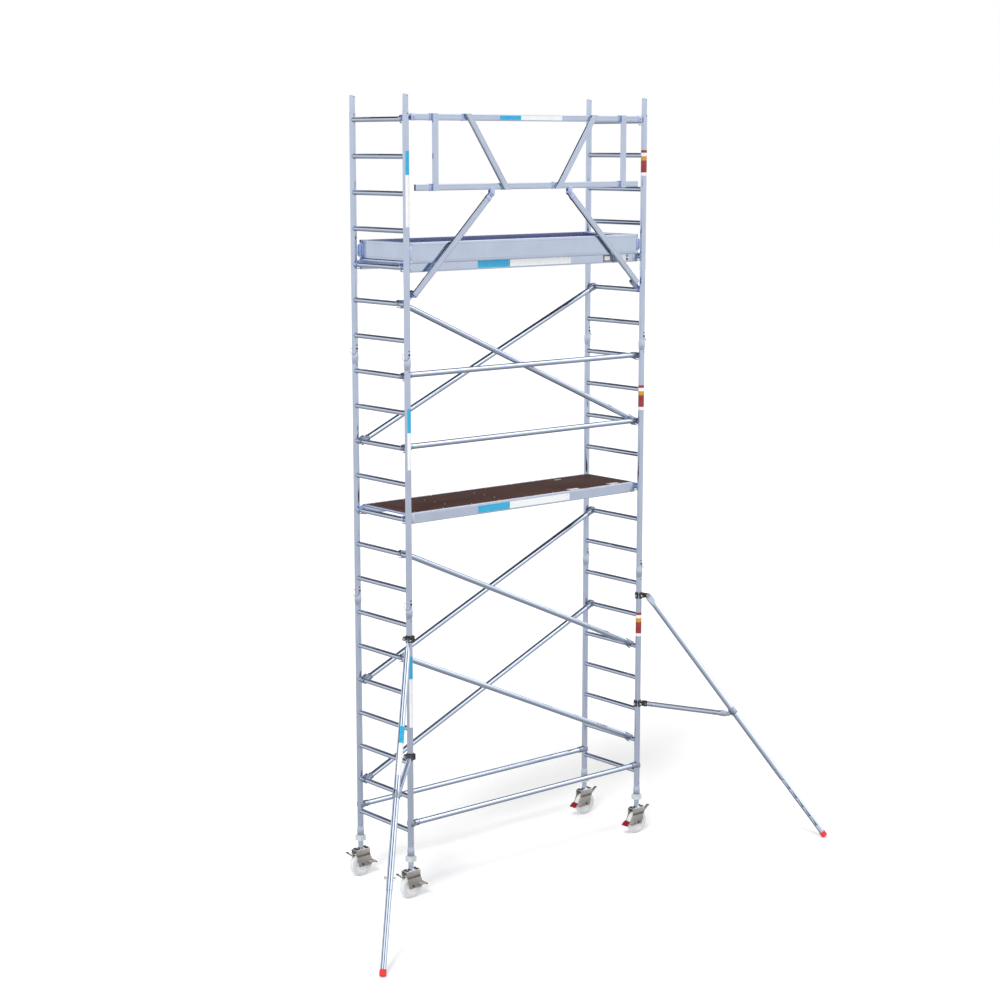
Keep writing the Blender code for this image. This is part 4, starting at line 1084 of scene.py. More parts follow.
def add_guardrail_struts():
    across = HALF_LENGTH - STRUT_PIVOT[0]
    down = STRUT_PIVOT[1] - rung_z(STRUT_RUNG)
    reach = math.hypot(across, down)
    lean = math.degrees(math.atan2(across, down))
    end = reach - 0.100
    outline = [(b, a) for a, b in rail_section()]
    hook_y = RAIL_HOOK_Y - RAIL_Y
    for side, sign in SIDES.items():
        piece = Piece(f"{side}_strut", DRAWN_Z, BLUE_REFLECTION_CAST, BRIGHT)
        extrude(piece, outline, -end, -0.030, "Z")
        tip = arc((0, 0), 0.021, 0, 180, 12)
        tip = [*tip, (-0.023, -0.034), (-0.023, -0.062), (0.023, -0.062), (0.023, -0.034)]
        piece.prism(softened(tip, 0.003), -0.0106, 0.0106, 0.0012, material=1)
        piece.block((-0.0256, -0.0116, -0.064), (0.0256, 0.0116, -0.040), 0.001, material=1)
        low_y = hook_y - RAIL_HOOK_WIDTH / 2
        high_y = hook_y + RAIL_HOOK_WIDTH / 2
        neck = [(-0.0225, -end + 0.030), (-0.0225, -end - 0.010), (-0.018, -reach + 0.030)]
        neck.append((-0.012, -reach + 0.0225))
        neck += [(-a, b) for a, b in reversed(neck)]
        piece.prism(softened(neck, 0.004), low_y + 0.001, high_y - 0.001, 0.0016, material=1)
        high = (0.0225, high_y - 0.004, -end + 0.026)
        piece.block((-0.0225, -0.0106, -end - 0.010), high, 0.0025, material=1)
        hook(piece, (0, -reach), RUNG_R, RAIL_HOOK_WIDTH, 175, 90, 0.0125, 1, shift(y=hook_y))
        piece.rivet((0, -RAIL_THICKNESS / 2, -end + 0.012), (0, -1, 0), 0.005, 2)
        piece.rivet((0, -RAIL_THICKNESS / 2, -0.052), (0, -1, 0), 0.005, 2)
        matrix = shift(sign * STRUT_PIVOT[0], RAIL_Y, STRUT_PIVOT[1]) @ turn(-sign * lean, "Y")
        body = f"{side}_guardrail_strut"
        piece.place(body, "aluminium", f"{side}_guardrail_strut", matrix=matrix)


# ---------------------------------------------------------------- stabilisers

BOOM = 0.077
STABILISER_TOP_Z = 2.131
STABILISER_SLOPE = math.radians(36.5)
TUBE_END_Z = 0.520
TUBE_R = 0.025
LEG_R = 0.0222
LEG_INSIDE = 0.620
BOOT_R = 0.0265
BOOT_LENGTH = 0.046
BOOT_Z = 0.0115
LOWER_CLAMP_Z = 1.171
EYE = (0.785, 1.090)
STABILISER_BRACE_R = 0.0215
CLAMP_BORE_R = 0.0258
CLAMP_R = 0.034
CLAMP_HALF = 0.030
TONGUE = 0.010
EYE_R = 0.016
PIN_R = 0.006


def on_tube(distance):
    """A point on the stabiliser tube's axis, this far down it from the pivot bolt."""
    x = BOOM + distance * math.sin(STABILISER_SLOPE)
    return Vector((x, 0, STABILISER_TOP_Z - distance * math.cos(STABILISER_SLOPE)))


def distance_at(height):
    return (STABILISER_TOP_Z - height) / math.cos(STABILISER_SLOPE)


def stabiliser_place(side):
    """Where a stabiliser stands, turned 45 degrees outwards round its upright."""
    sign = SIDES[side]
    return shift(sign * HALF_LENGTH, -HALF_WIDTH) @ turn(-90 + 45 * sign, "Z")


PIN_DISTANCE = distance_at(0.600)
DOWN_TUBE = along(on_tube(0), on_tube(1), up=(1, 0, 0))


def squashed(piece, steps, matrix, material=0, sides=SMOOTH):
    """A tube pressed flat at its end: (distance, half width in X, half width in Y) steps."""
    rings = []
    for distance, wide, thin in steps:
        ring = []
        for i in range(sides):
            angle = math.tau * (i + 0.5) / sides
            power = 0.75 if thin < wide * 0.9 else 1.0
            c = math.copysign(abs(math.cos(angle)) ** power, math.cos(angle))
            s = math.copysign(abs(math.sin(angle)) ** power, math.sin(angle))
            ring.append(matrix @ Vector((wide * c, thin * s, distance)))
        rings.append(ring)
    piece.loft(rings, material)


def nut_and_bolt(piece, point, half_length, material):
    """A bolt along Y with its head on the near side and its nut on the far one."""
    x, z = point
    piece.rod((x, -half_length, z), (x, half_length, z), PIN_R - 0.0006, material, 16)
    piece.bolt((x, -half_length, z), (0, -1, 0), 0.0092, 0.0062, material)
    piece.bolt((x, half_length, z), (0, 1, 0), 0.0092, 0.0078, material)
    piece.rod((x, half_length + 0.006, z), (x, half_length + 0.014, z), 0.0052, material, 16, 0.001)


def coupler(piece, height, steel, bolt_steel):
    """A drop-forged half coupler: body and flap round the upright, hinge pin and swing bolt."""
    low = height - CLAMP_HALF
    high = height + CLAMP_HALF
    inner = CLAMP_BORE_R
    for start, end in ((-78, 78), (98, 262)):
        steps = 22
        rings = []
        for i in range(steps + 1):
            angle = math.radians(start + (end - start) * i / steps)
            out = Vector((math.cos(angle), math.sin(angle), 0))
            ring = []
            for radius, level in (
                (inner, low + 0.004), (CLAMP_R - 0.004, low + 0.002),
                (CLAMP_R - 0.001, low + 0.010), (CLAMP_R + 0.0012, low + 0.020),
                (CLAMP_R + 0.0012, high - 0.020), (CLAMP_R - 0.001, high - 0.010),
                (CLAMP_R - 0.004, high - 0.002), (inner, high - 0.004),
            ):
                ring.append(out * radius + Vector((0, 0, level)))
            rings.append(ring)
        piece.loft(rings, steel)
    hinge_y = CLAMP_R + 0.002
    knuckles = (low + 0.006, low + 0.020), (height - 0.008, height + 0.008), (high - 0.020, high - 0.006)
    for low_z, high_z in knuckles:
        piece.rod((0, hinge_y, low_z), (0, hinge_y, high_z), 0.0075, steel, 20, 0.001)
    piece.rod((0, hinge_y, low + 0.003), (0, hinge_y, high - 0.003), 0.004, bolt_steel, 16, 0.001)
    for side in (-1, 1):
        lug = [(0.004, -0.016), (0.020, -0.014), (0.020, 0.014), (0.004, 0.016)]
        lug = softened([(side * x, z) for x, z in lug], 0.003)
        at = shift(0, -CLAMP_R - 0.007, height)
        piece.prism(lug, -0.010, 0.012, 0.0016, at, steel)
    bolt_y = -CLAMP_R - 0.009
    piece.rod((-0.030, bolt_y, height), (0.034, bolt_y, height), 0.0058, bolt_steel, 20, 0.001)
    piece.bolt((0.020, bolt_y, height), (1, 0, 0), 0.0105, 0.010, bolt_steel)
    piece.bolt((-0.020, bolt_y, height), (-1, 0, 0), 0.0105, 0.008, bolt_steel)


def cheeks(piece, pivot, material):
    """Two forged cheeks from a coupler out to a pivot bolt."""
    offset = TONGUE / 2 + GAP * 2
    for side in (-1, 1):
        tip = arc(pivot, EYE_R, -90, 90, 12)
        root = CLAMP_R - 0.003
        outline = [(root, pivot[1] - 0.022), *tip, (root, pivot[1] + 0.022)]
        piece.prism(outline, side * offset, side * (offset + 0.006), 0.0014, material=material)


def stabiliser_clamp_mesh():
    piece = Piece("clamp", BLACK, BRIGHT)
    coupler(piece, STABILISER_TOP_Z, 0, 1)
    pivot = (BOOM, STABILISER_TOP_Z)
    cheeks(piece, pivot, 0)
    nut_and_bolt(piece, pivot, TONGUE / 2 + 0.007, 1)
    return piece.mesh()


def stabiliser_tube_mesh():
    piece = Piece("tube", DRAWN_Z, CAST, BRIGHT, RED)
    flat = TONGUE / 2 - 0.0004
    steps = [(-0.016, 0.006, flat), (-0.0125, 0.013, flat), (-0.006, 0.020, flat), (0.010, 0.028, flat)]
    steps += [(0.030, 0.030, flat), (0.048, 0.0292, 0.010), (0.066, 0.0272, 0.017)]
    steps.append((0.085, 0.0257, 0.0225))
    steps += [(0.104, TUBE_R, TUBE_R), (0.110, TUBE_R, TUBE_R)]
    squashed(piece, steps, DOWN_TUBE)
    piece.pipe(on_tube(0.1095), on_tube(distance_at(TUBE_END_Z)), TUBE_R, 0.0024)
    eye_distance = distance_at(EYE[1])
    foot_of_eye = eye_distance - (on_tube(eye_distance).x - EYE[0]) * math.sin(STABILISER_SLOPE)
    low = foot_of_eye - 0.030
    collar = [(TUBE_R + 0.0002, 0), (0.0300, 0.0006), (0.0310, 0.003), (0.0310, 0.057)]
    collar += [(0.0300, 0.0594), (TUBE_R + 0.0002, 0.060)]
    piece.turned([(r, low + z) for r, z in collar], SMOOTH, DOWN_TUBE, 1, closed=True)
    base = on_tube(foot_of_eye).xz
    toward = Vector(EYE) - base
    angle = math.degrees(math.atan2(-toward.y, -toward.x))
    for side in (-1, 1):
        outline = arc(EYE, EYE_R, angle + 90, angle + 270, 12)
        across = Vector((math.sin(math.radians(angle)), -math.cos(math.radians(angle)))) * EYE_R
        end = base + toward.normalized() * (TUBE_R - 0.0012)
        outline += [tuple(end + across * 1.3), tuple(end - across * 1.3)]
        inner = side * (TONGUE / 2 + GAP * 2)
        piece.prism(outline, inner, side * (TONGUE / 2 + 0.006), 0.0008, material=1)
    nut_and_bolt(piece, EYE, TONGUE / 2 + 0.0065, 2)
    pin = on_tube(PIN_DISTANCE)
    piece.rod(pin + Vector((0, -0.043, 0)), pin + Vector((0, 0.043, 0)), 0.0045, 2, 16, 0.001)
    piece.rod(pin + Vector((0, -0.043, 0)), pin + Vector((0, -0.036, 0)), 0.010, 2, 20, 0.0012)
    loop = []
    for i in range(22):
        bow = math.sin(math.pi * i / 21)
        loop.append(pin + Vector((0.029 * bow, -0.040 + 0.080 * i / 21, -0.034 * bow)))
    piece.wire(loop, 0.0014, 2)
    return piece.mesh()


def stabiliser_leg_mesh():
    start = distance_at(TUBE_END_Z) - LEG_INSIDE
    end = distance_at(BOOT_Z) - BOOT_LENGTH * 0.55
    solid = Piece("leg", DRAWN_Z)
    solid.pipe(on_tube(start), on_tube(end), LEG_R, 0.0024)
    drill = Piece("drill", DRAWN_Z)
    for i in range(-6, 7):
        centre = PIN_DISTANCE + i * 0.100
        if start + 0.02 < centre < end - 0.03:
            across = Vector((0, 0.05, 0))
            drill.rod(on_tube(centre) - across, on_tube(centre) + across, 0.0058, sides=20)
    return cut(solid.mesh(), drill.mesh())


def stabiliser_foot_mesh():
    """A grooved rubber cap, its lowest edge cut level with the floor."""
    end = distance_at(BOOT_Z)
    leg_end = end - BOOT_LENGTH * 0.55
    top = end - BOOT_LENGTH
    bore = LEG_R + 0.0006
    profile = [(0.0001, leg_end + GAP), (bore, leg_end + GAP), (bore, top), (BOOT_R - 0.0030, top)]
    profile += [(BOOT_R - 0.0012, top + 0.0008), (BOOT_R - 0.0002, top + 0.0035)]
    for i in range(3):
        base = top + 0.010 + i * 0.0085
        profile += [(BOOT_R - 0.0002, base), (BOOT_R - 0.0012, base + 0.0010)]
        profile += [(BOOT_R - 0.0012, base + 0.0020), (BOOT_R - 0.0002, base + 0.0030)]
    profile += [(BOOT_R, end - 0.0065), (BOOT_R - 0.0006, end - 0.0035), (BOOT_R - 0.0020, end - 0.0012)]
    profile += [(BOOT_R - 0.0040, end), (0.0001, end)]
    boot = Piece("boot", RED_RUBBER)
    boot.turned(profile, 48, DOWN_TUBE)
    reach = on_tube(end).x
    floor = Piece("floor_cut", RED_RUBBER)
    floor.block((reach - 0.2, -0.1, -0.1), (reach + 0.2, 0.1, 0), 0)
    return cut(boot.mesh(), floor.mesh())


def stabiliser_brace_mesh():
    piece = Piece("brace", DRAWN_X, BLACK, BRIGHT, CAST)
    inner = Vector((CLAMP_R, LOWER_CLAMP_Z))
    outer = Vector(EYE)
    direction = (outer - inner).normalized()
    slope = math.degrees(math.atan2(direction.y, direction.x))
    lay = shift(outer.x, 0, outer.y) @ turn(-slope, "Y") @ turn(-90, "Y")
    start = (outer - inner).length - 0.014
    flat = TONGUE / 2 - 0.0004
    steps = [(-0.016, 0.006, flat), (-0.0125, 0.012, flat), (0.0, 0.016, flat), (0.016, 0.0225, flat)]
    steps += [(0.032, 0.0262, flat), (0.048, 0.0258, 0.009), (0.066, 0.0238, 0.0155)]
    for distance in (0.086, start - 0.030, start):
        steps.append((distance, STABILISER_BRACE_R, STABILISER_BRACE_R))
    squashed(piece, steps, lay)
    for distance in (0.105, 0.125, start - 0.075, start - 0.055):
        crimp = [(STABILISER_BRACE_R + 0.0001, distance - 0.004), (STABILISER_BRACE_R + 0.0013, distance)]
        piece.turned([*crimp, (STABILISER_BRACE_R + 0.0001, distance + 0.004)], SMOOTH, lay, 3)
    coupler(piece, LOWER_CLAMP_Z, 1, 2)
    socket = [(0.0235, start - 0.035), (0.0262, start - 0.033), (0.0268, start - 0.010)]
    socket.append((0.0240, start + 0.012))
    piece.turned([*socket, (0.0200, start + 0.0135)], SMOOTH, lay, 1)
    near = lay @ Vector((0, 0, start - 0.020))
    piece.rivet(near + Vector((0, -0.0262, 0)), (0, -1, 0), 0.006, 2)
    return piece.mesh()


def add_stabilisers():
    parts = {
        "clamp": (stabiliser_clamp_mesh(), "stabiliser", "black_steel", "coupler"),
        "tube": (stabiliser_tube_mesh(), "stabiliser", "aluminium", "outer_tube"),
        "brace": (stabiliser_brace_mesh(), "stabiliser", "aluminium", "stay"),
        "leg": (stabiliser_leg_mesh(), "stabiliser_leg", "aluminium", "inner_tube"),
        "foot": (stabiliser_foot_mesh(), "stabiliser_leg", "red_rubber", "boot"),
    }
    for side in SIDES:
        for part, (mesh, body, slot, title) in parts.items():
            row = (f"{side}_{body}", slot, f"{side}_stabiliser_{part}")
            place(f"{side}_stabiliser_{title}", mesh, *row, matrix=stabiliser_place(side))


# ---------------------------------------------------------------- adjustable legs and castors

WHEEL_R = 0.100
SPINDLE_R = 0.0217
SPINDLE_LENGTH = 0.500
THREAD_PITCH = 0.010
FORK_TOP = 0.230
FORK_INNER = 0.028
NUT_BOTTOM = 0.300
NUT_TOP = 0.350
NUT_EAR_ANGLES = (50, 140, 230, 320)
NUT_CUP_R = 0.0295
PEDAL_PIVOT = (0.052, 0.107)


def uneven_ring(sides, height, radius_at):
    """A ring about Z whose radius depends on the angle."""
    angles = [math.tau * k / sides for k in range(sides)]
    return [Vector((radius_at(a) * math.cos(a), radius_at(a) * math.sin(a), height)) for a in angles]


def spindle_mesh():
    """The threaded leg on its collar: a rounded screw thread, rising to the right."""
    sides = 32
    step = THREAD_PITCH / 8
    collar = [(0.008, -0.012), (0.008, GAP), (0.029, GAP), (0.029, 0.005), (0.0265, 0.007)]
    collar.append((SPINDLE_R - 0.001, 0.011))
    rings = [uneven_ring(sides, FORK_TOP + z, lambda angle: r) for r, z in collar]
    for i in range(int((SPINDLE_LENGTH - 0.016) / step)):
        height = FORK_TOP + 0.012 + i * step

        def thread(angle):
            phase = height / THREAD_PITCH - angle / math.tau
            return SPINDLE_R - 0.0011 * (0.5 - 0.5 * math.cos(math.tau * phase)) ** 1.5

        rings.append(uneven_ring(sides, height, thread))
    rings.append(uneven_ring(sides, FORK_TOP + SPINDLE_LENGTH, lambda angle: SPINDLE_R - 0.004))
    piece = Piece("spindle", DRAWN_Z)
    piece.loft(rings)
    return piece.mesh()


def nut_mesh():
    """The moulded adjusting nut: ribbed skirt, cup round the upright's foot, two ears."""
    piece = Piece("nut", NUT)
    ribs = 16
    seat = FRAME_FOOT - GAP
    bore = SPINDLE_R + 0.0006
    profile = [
        (bore, NUT_BOTTOM, 0), (0.0310, NUT_BOTTOM, 0), (0.0335, NUT_BOTTOM + 0.002, 0),
        (0.0340, NUT_BOTTOM + 0.006, 0), (0.0338, NUT_BOTTOM + 0.008, 1),
        (0.0338, NUT_TOP - 0.012, 1), (0.0335, NUT_TOP - 0.010, 0), (0.0340, NUT_TOP - 0.006, 0),
        (0.0330, NUT_TOP, 0), (NUT_CUP_R + 0.001, NUT_TOP, 0), (NUT_CUP_R, NUT_TOP - 0.001, 0),
        (NUT_CUP_R, seat, 0), (bore, seat, 0),
    ]
    rings = []
    for radius, height, ribbed in profile:

        def ribs_at(angle):
            return radius - ribbed * 0.0008 * (1 - math.cos(angle * ribs))

        rings.append(uneven_ring(ribs * 6, height, ribs_at))
    piece.loft(rings, closed=True)
    ear = [
        (0.0310, NUT_BOTTOM + 0.003), (0.0442, NUT_BOTTOM + 0.003), (0.0442, NUT_TOP - 0.008),
        (0.0310, NUT_TOP - 0.008),
    ]
    for angle in NUT_EAR_ANGLES:
        piece.prism(softened(ear, 0.0025), -0.0085, 0.0085, 0.0015, turn(angle, "Z"))
    return piece.mesh()


def fork_mesh():
    """The pressed castor fork: plate and race on top, stepped side plates, axle and rivets."""
    piece = Piece("fork", FORK, DARK, BRIGHT, SKIRT_SHADOW_STEEL, PALE_ZINC)
    top = FORK_TOP
    plate = rounded(0.071, 0.0315, 0.006, centre=(-0.001, 0))
    rings = []
    for inset_by, z in ((0.0015, top - 0.0060), (0, top - 0.0045), (0, top - 0.0015), (0.0015, top)):
        scale_x = 1 - inset_by / 0.071
        scale_y = 1 - inset_by / 0.0315
        rings.append([Vector((x * scale_x, y * scale_y, z)) for x, y in plate])
    piece.loft(rings, 4)
    skirt = [(-0.072, top - 0.0015), (-0.072, 0.190), (-0.064, 0.178), (0.066, 0.178)]
    skirt += [(0.070, 0.184), (0.070, top - 0.0015)]
    # The ridge under the skirt takes the dark steel: painted shadow cast by the skirt.
    shadow_ridge = [(-0.062, 0.186), (-0.057, 0.168), (0.069, 0.168), (0.070, 0.186)]
    lower = [
        (-0.058, 0.192), (-0.053, 0.170), (-0.040, 0.080), (0.084, 0.080), (0.091, 0.130),
        (0.074, 0.170), (0.068, 0.192),
    ]
    for sign in (-1, 1):
        for outline, inner, outer, radius, slot in (
            (lower, FORK_INNER, 0.0320, 0.009, 0), (skirt, FORK_INNER + 0.0005, 0.0332, 0.003, 0),
            (shadow_ridge, FORK_INNER + 0.001, 0.0348, 0.002, 3),
        ):
            edges = (sign * inner, sign * outer)
            piece.prism(softened(outline, radius), *edges, 0.0009, material=slot)
        piece.bolt((0, sign * 0.0320, WHEEL_R), (0, sign, 0), 0.0072, 0.0050, 1)
        x, z = PEDAL_PIVOT
        piece.rod((x, sign * 0.030, z), (x, sign * 0.0372, z), 0.0048, 2, 20, 0.001)
    piece.rod((0, -0.0325, WHEEL_R), (0, 0.0325, WHEEL_R), 0.006, 2, 20)
    race = [(0.024, top - 0.0065), (0.027, top - 0.009), (0.027, top - 0.015), (0.024, top - 0.0175)]
    race += [(0.010, top - 0.0175), (0.010, top - 0.0065)]
    piece.turned(race, SMOOTH, material=2, closed=True)
    for x in (-0.054, -0.040, 0.042, 0.056):
        for y in (-0.018, 0.018):
            piece.bolt((x, y, top), (0, 0, 1), 0.0062, 0.0060, 1)
    lever = [
        (-0.052, 0.170), (-0.066, 0.160), (-0.080, 0.168), (-0.126, 0.204), (-0.143, 0.216),
        (-0.140, 0.227), (-0.130, 0.226), (-0.094, 0.192), (-0.074, 0.183), (-0.058, 0.184),
    ]
    piece.prism(softened(lever, 0.005), -0.0095, 0.0095, 0.0018, material=0)
    piece.rod((-0.1395, -0.012, 0.2205), (-0.1395, 0.012, 0.2205), 0.0056, 1, 20, 0.0015)
    return piece.mesh()


def wheel_mesh():
    """A nylon wheel: crowned tread, stepped face with a recess, hub with its bearing."""
    piece = Piece("wheel", WHEEL, BRIGHT, RIM_SHADE_NYLON)
    half_profile = [
        (0.0135, 0.0262), (0.0150, 0.0270), (0.0250, 0.0270), (0.0268, 0.0255), (0.0285, 0.0180),
        (0.0315, 0.0165), (0.0640, 0.0165), (0.0670, 0.0180), (0.0690, 0.0235), (0.0710, 0.0250),
        (0.0900, 0.0250), (0.0945, 0.0240), (0.0978, 0.0205), (0.0994, 0.0150), (0.1000, 0.0080),
    ]
    profile = [(r, -h) for r, h in half_profile] + [(r, h) for r, h in reversed(half_profile)]
    lay = turn(90, "X")
    piece.turned(profile, 72, lay, closed=True)
    # The outer face ring takes the darker nylon: painted shade towards the rim.
    for face in piece.bm.faces:
        x, y, z = face.calc_center_median()
        if math.hypot(x, z) > 0.069 and abs(y) > 0.0205:
            face.material_index = 2
    for sign in (-1, 1):
        bearing = [(0.0066, 0.0258), (0.0082, 0.0262), (0.0118, 0.0262), (0.0134, 0.0258)]
        bearing += [(0.0134, 0.020), (0.0066, 0.020)]
        piece.turned([(r, h * sign) for r, h in bearing], SMOOTH, lay, 1, closed=True)
    return piece.mesh()


def pedal_mesh():
    """The brake pedal about its rivets: steel arms outside the fork, a ribbed red pad."""
    piece = Piece("pedal", FORK, RED, DARK)
    arm = [
        (-0.0115, 0.0035), (-0.0085, 0.0085), (0.0, 0.0120), (0.0520, 0.0105), (0.0780, -0.0050),
        (0.0765, -0.0175), (0.0560, -0.0125), (0.0, -0.0120), (-0.0085, -0.0085),
    ]
    for sign in (-1, 1):
        piece.prism(softened(arm, 0.004), sign * 0.0335, sign * 0.0362, 0.0008, material=0)
        piece.rivet((0, sign * 0.0362, 0), (0, sign, 0), 0.0060, 2)
    pad = [(0.0480, 0.0125), (0.0930, -0.0128), (0.0950, -0.0190), (0.0905, -0.0240), (0.0860, -0.0225)]
    pad += [(0.0480, -0.0020), (0.0455, 0.0040)]
    piece.prism(softened(pad, 0.004), -0.0330, 0.0330, 0.0020, material=1)
    slope = math.degrees(math.atan2(0.0253, 0.045))
    for i in range(4):
        along_pad = 0.010 + i * 0.0105
        at = shift(0.0480, 0, 0.0125) @ turn(slope, "Y") @ shift(along_pad, 0, 0)
        piece.block((-0.0016, -0.0300, -0.001), (0.0016, 0.0300, 0.0014), 0.0007, at, 1)
    return piece.mesh()


def add_castors():
    spindle, nut, fork, wheel, pedal = spindle_mesh(), nut_mesh(), fork_mesh(), wheel_mesh(), pedal_mesh()
    for side, sign in SIDES.items():
        turned_by = turn(90 + 90 * sign, "Z")
        for depth, depth_sign in DEPTHS.items():
            corner = f"{side}_{depth}"
            foot = shift(sign * HALF_LENGTH, depth_sign * HALF_WIDTH)
            rivet = foot @ turned_by @ shift(x=PEDAL_PIVOT[0], z=PEDAL_PIVOT[1])
            parts = (
                ("leg", "leg_spindle", "aluminium", "screw", spindle, foot),
                ("nut", "leg_nut", "white_nylon", "wing_nut", nut, foot),
                ("fork", "castor_fork", "castor_steel", "fork", fork, foot @ turned_by),
                ("wheel", "castor_wheel", "white_nylon", "wheel", wheel, foot @ shift(z=WHEEL_R)),
                ("pedal", "brake_pedal", "red_plastic", "pedal", pedal, rivet),
            )
            for body, node, slot, title, mesh, matrix in parts:
                row = (f"{corner}_{body}", slot, f"{corner}_{node}")
                place(f"{corner}_{title}", mesh, *row, matrix=matrix)


# ---------------------------------------------------------------- blank labels

LABEL_TURN = -90
NOTICE_TURN = -125
FILM_LIFT = 0.0004
FILM_THICKNESS = 0.0003


def round_label(piece, matrix, radius, low, high, facing, spread, material):
    """A film wrapped part of the way round a tube."""
    steps = 12
    rings = []
    for i in range(steps + 1):
        angle = math.radians(facing - spread + 2 * spread * i / steps)
        ring = []
        for reach, level in (
            (radius + FILM_LIFT, low), (radius + FILM_LIFT + FILM_THICKNESS, low),
            (radius + FILM_LIFT + FILM_THICKNESS, high), (radius + FILM_LIFT, high),
        ):
            ring.append(matrix @ Vector((reach * math.cos(angle), reach * math.sin(angle), level)))
        rings.append(ring)
    piece.loft(rings, material)


def flat_label(piece, x, z, y, material):
    """A film on a face that looks along -Y, between two X and two Z values."""
    outline = rounded((x[1] - x[0]) / 2, (z[1] - z[0]) / 2, 0.003, centre=(sum(x) / 2, sum(z) / 2))
    piece.prism(outline, y - FILM_LIFT - FILM_THICKNESS, y - FILM_LIFT, material=material)


def add_labels():
    name_bands = Piece("name_labels", CYAN_FILM, WHITE_FILM)
    left = shift(-HALF_LENGTH, -HALF_WIDTH)
    for low, split, high in ((5.345, 5.738, 5.918), (3.476, 3.766, 3.953), (1.414, 1.808, 1.992)):
        round_label(name_bands, left, UPRIGHT_R, split, high, LABEL_TURN, 45, 0)
        round_label(name_bands, left, UPRIGHT_R, low, split, LABEL_TURN, 45, 1)
    beam = -BEAM_Y
    for z in (3.048, 5.008):
        flat_label(name_bands, (-0.516, -0.183), (z, z + 0.056), beam, 0)
        flat_label(name_bands, (-0.183, 0.468), (z, z + 0.056), beam, 1)
    rail = RAIL_Y - RAIL_THICKNESS / 2
    flat_label(name_bands, (-0.329, -0.113), (6.155, 6.189), rail, 0)
    flat_label(name_bands, (-0.113, 0.321), (6.155, 6.189), rail, 1)
    name_bands.place("tower", "cyan_film")
    notices = Piece("notice_labels", RED_FILM, YELLOW_FILM, WHITE_FILM, CYAN_FILM, GREY_FILM)
    right = shift(HALF_LENGTH, -HALF_WIDTH)
    for top in (5.919, 3.953, 1.981):
        for low, high, material in (
            (-0.022, 0.000, 0), (-0.050, -0.022, 2), (-0.085, -0.050, 1), (-0.184, -0.085, 0),
            (-0.210, -0.184, 2),
        ):
            round_label(notices, right, UPRIGHT_R, top + low, top + high, NOTICE_TURN, 75, material)
    z = 5.007
    flat_label(notices, (0.828, 0.925), (z, z + 0.056), beam, 4)
    flat_label(notices, (0.845, 0.905), (z + 0.012, z + 0.044), beam - 0.0004, 2)
    flat_label(notices, (0.985, 1.118), (z, z + 0.056), beam, 2)
    flat_label(notices, (1.088, 1.112), (z + 0.031, z + 0.053), beam - 0.0004, 3)
    flat_label(notices, (1.088, 1.112), (z + 0.003, z + 0.025), beam - 0.0004, 0)
    notices.place("tower", "white_film")
    for side, facing in {"left": -55, "right": -70}.items():
        piece = Piece(f"{side}_stabiliser_label", CYAN_FILM, WHITE_FILM)
        round_label(piece, DOWN_TUBE, TUBE_R, 0.715, 0.853, facing, 75, 0)
        round_label(piece, DOWN_TUBE, TUBE_R, 0.853, 1.110, facing, 75, 1)
        piece.place(f"{side}_stabiliser", "cyan_film", matrix=stabiliser_place(side))


# ---------------------------------------------------------------- stage

CAMERA_LENS = 75.02
CAMERA_SENSOR = 36.0
CAMERA_PLACE = (-11.006, -13.017, 5.973)
CAMERA_PITCH = 9.708
CAMERA_YAW = 40.135
# What the metal reflects: levels by elevation, then soft patches laid one over another.
STUDIO_LEVELS = (
    (-90, 0.40), (-55, 0.36), (-38, 0.40), (-24, 0.50), (-10, 0.78),
    (-3, 0.89), (20, 1.00), (50, 0.92), (72, 0.55), (90, 0.45),
)
# (azimuth, elevation, softness, colour)
STUDIO_PATCHES = (
    ((-76, 5), (18, 66), 6, (1.95, 1.98, 2.02)), ((-200, -128), (43, 72), 6, (1.60, 1.62, 1.66)),
    ((-116, -80), (34, 74), 5, (0.10, 0.10, 0.115)), ((17, 164), (21, 84), 5, (0.07, 0.075, 0.09)),
)


def add_camera():
    data = bpy.data.cameras.new("camera")
    data.lens = CAMERA_LENS
    data.sensor_width = CAMERA_SENSOR
    data.clip_end = 200.0
    camera = bpy.data.objects.new("camera", data)
    x, y, z = CAMERA_PLACE
    camera.location = (x, y + TOWER_Y, z)
    camera.rotation_euler = (math.radians(90 - CAMERA_PITCH), 0, math.radians(-CAMERA_YAW))
    bpy.context.scene.collection.objects.link(camera)
    bpy.context.scene.camera = camera


def add_floor():
    bm = bmesh.new()
    bmesh.ops.create_grid(bm, x_segments=1, y_segments=1, size=60.0)
    mesh = bpy.data.meshes.new("studio_floor")
    bm.to_mesh(mesh)
    bm.free()
    floor = bpy.data.objects.new("studio_floor", mesh)
    bpy.context.scene.collection.objects.link(floor)
    floor.location.z = -0.0005
    made = Shader("studio_floor", (0.94, 0.94, 0.945), 0.9)
    made.inputs["Specular IOR Level"].default_value = 0.0
    made.inputs["Emission Color"].default_value = (1.0, 1.0, 1.0, 1.0)
    made.inputs["Emission Strength"].default_value = 0.10
    clouds = made.noise(0.4, 3.0)
    made.tint(made.remap(clouds, 0.3, 0.7), (0.94, 0.94, 0.945), (0.93, 0.93, 0.935))
    mesh.materials.append(made.material)
    floor.visible_glossy = False


def add_lights():
    """A broad soft key from the front left, not seen in reflections."""
    data = bpy.data.lights.new("key", "SUN")
    data.energy = 1.35
    data.angle = math.radians(14)
    light = bpy.data.objects.new("key", data)
    bpy.context.scene.collection.objects.link(light)
    direction = Vector((0.62, 0.38, -1.0))
    light.rotation_euler = direction.to_track_quat("-Z", "Y").to_euler()
    light.visible_glossy = False


def wired(tree, kind, *sources, operation=None):
    """A node with its first inputs linked."""
    node = tree.nodes.new(kind)
    if operation:
        node.operation = operation
    for source, target in zip(sources, node.inputs):
        tree.links.new(source, target)
    return node


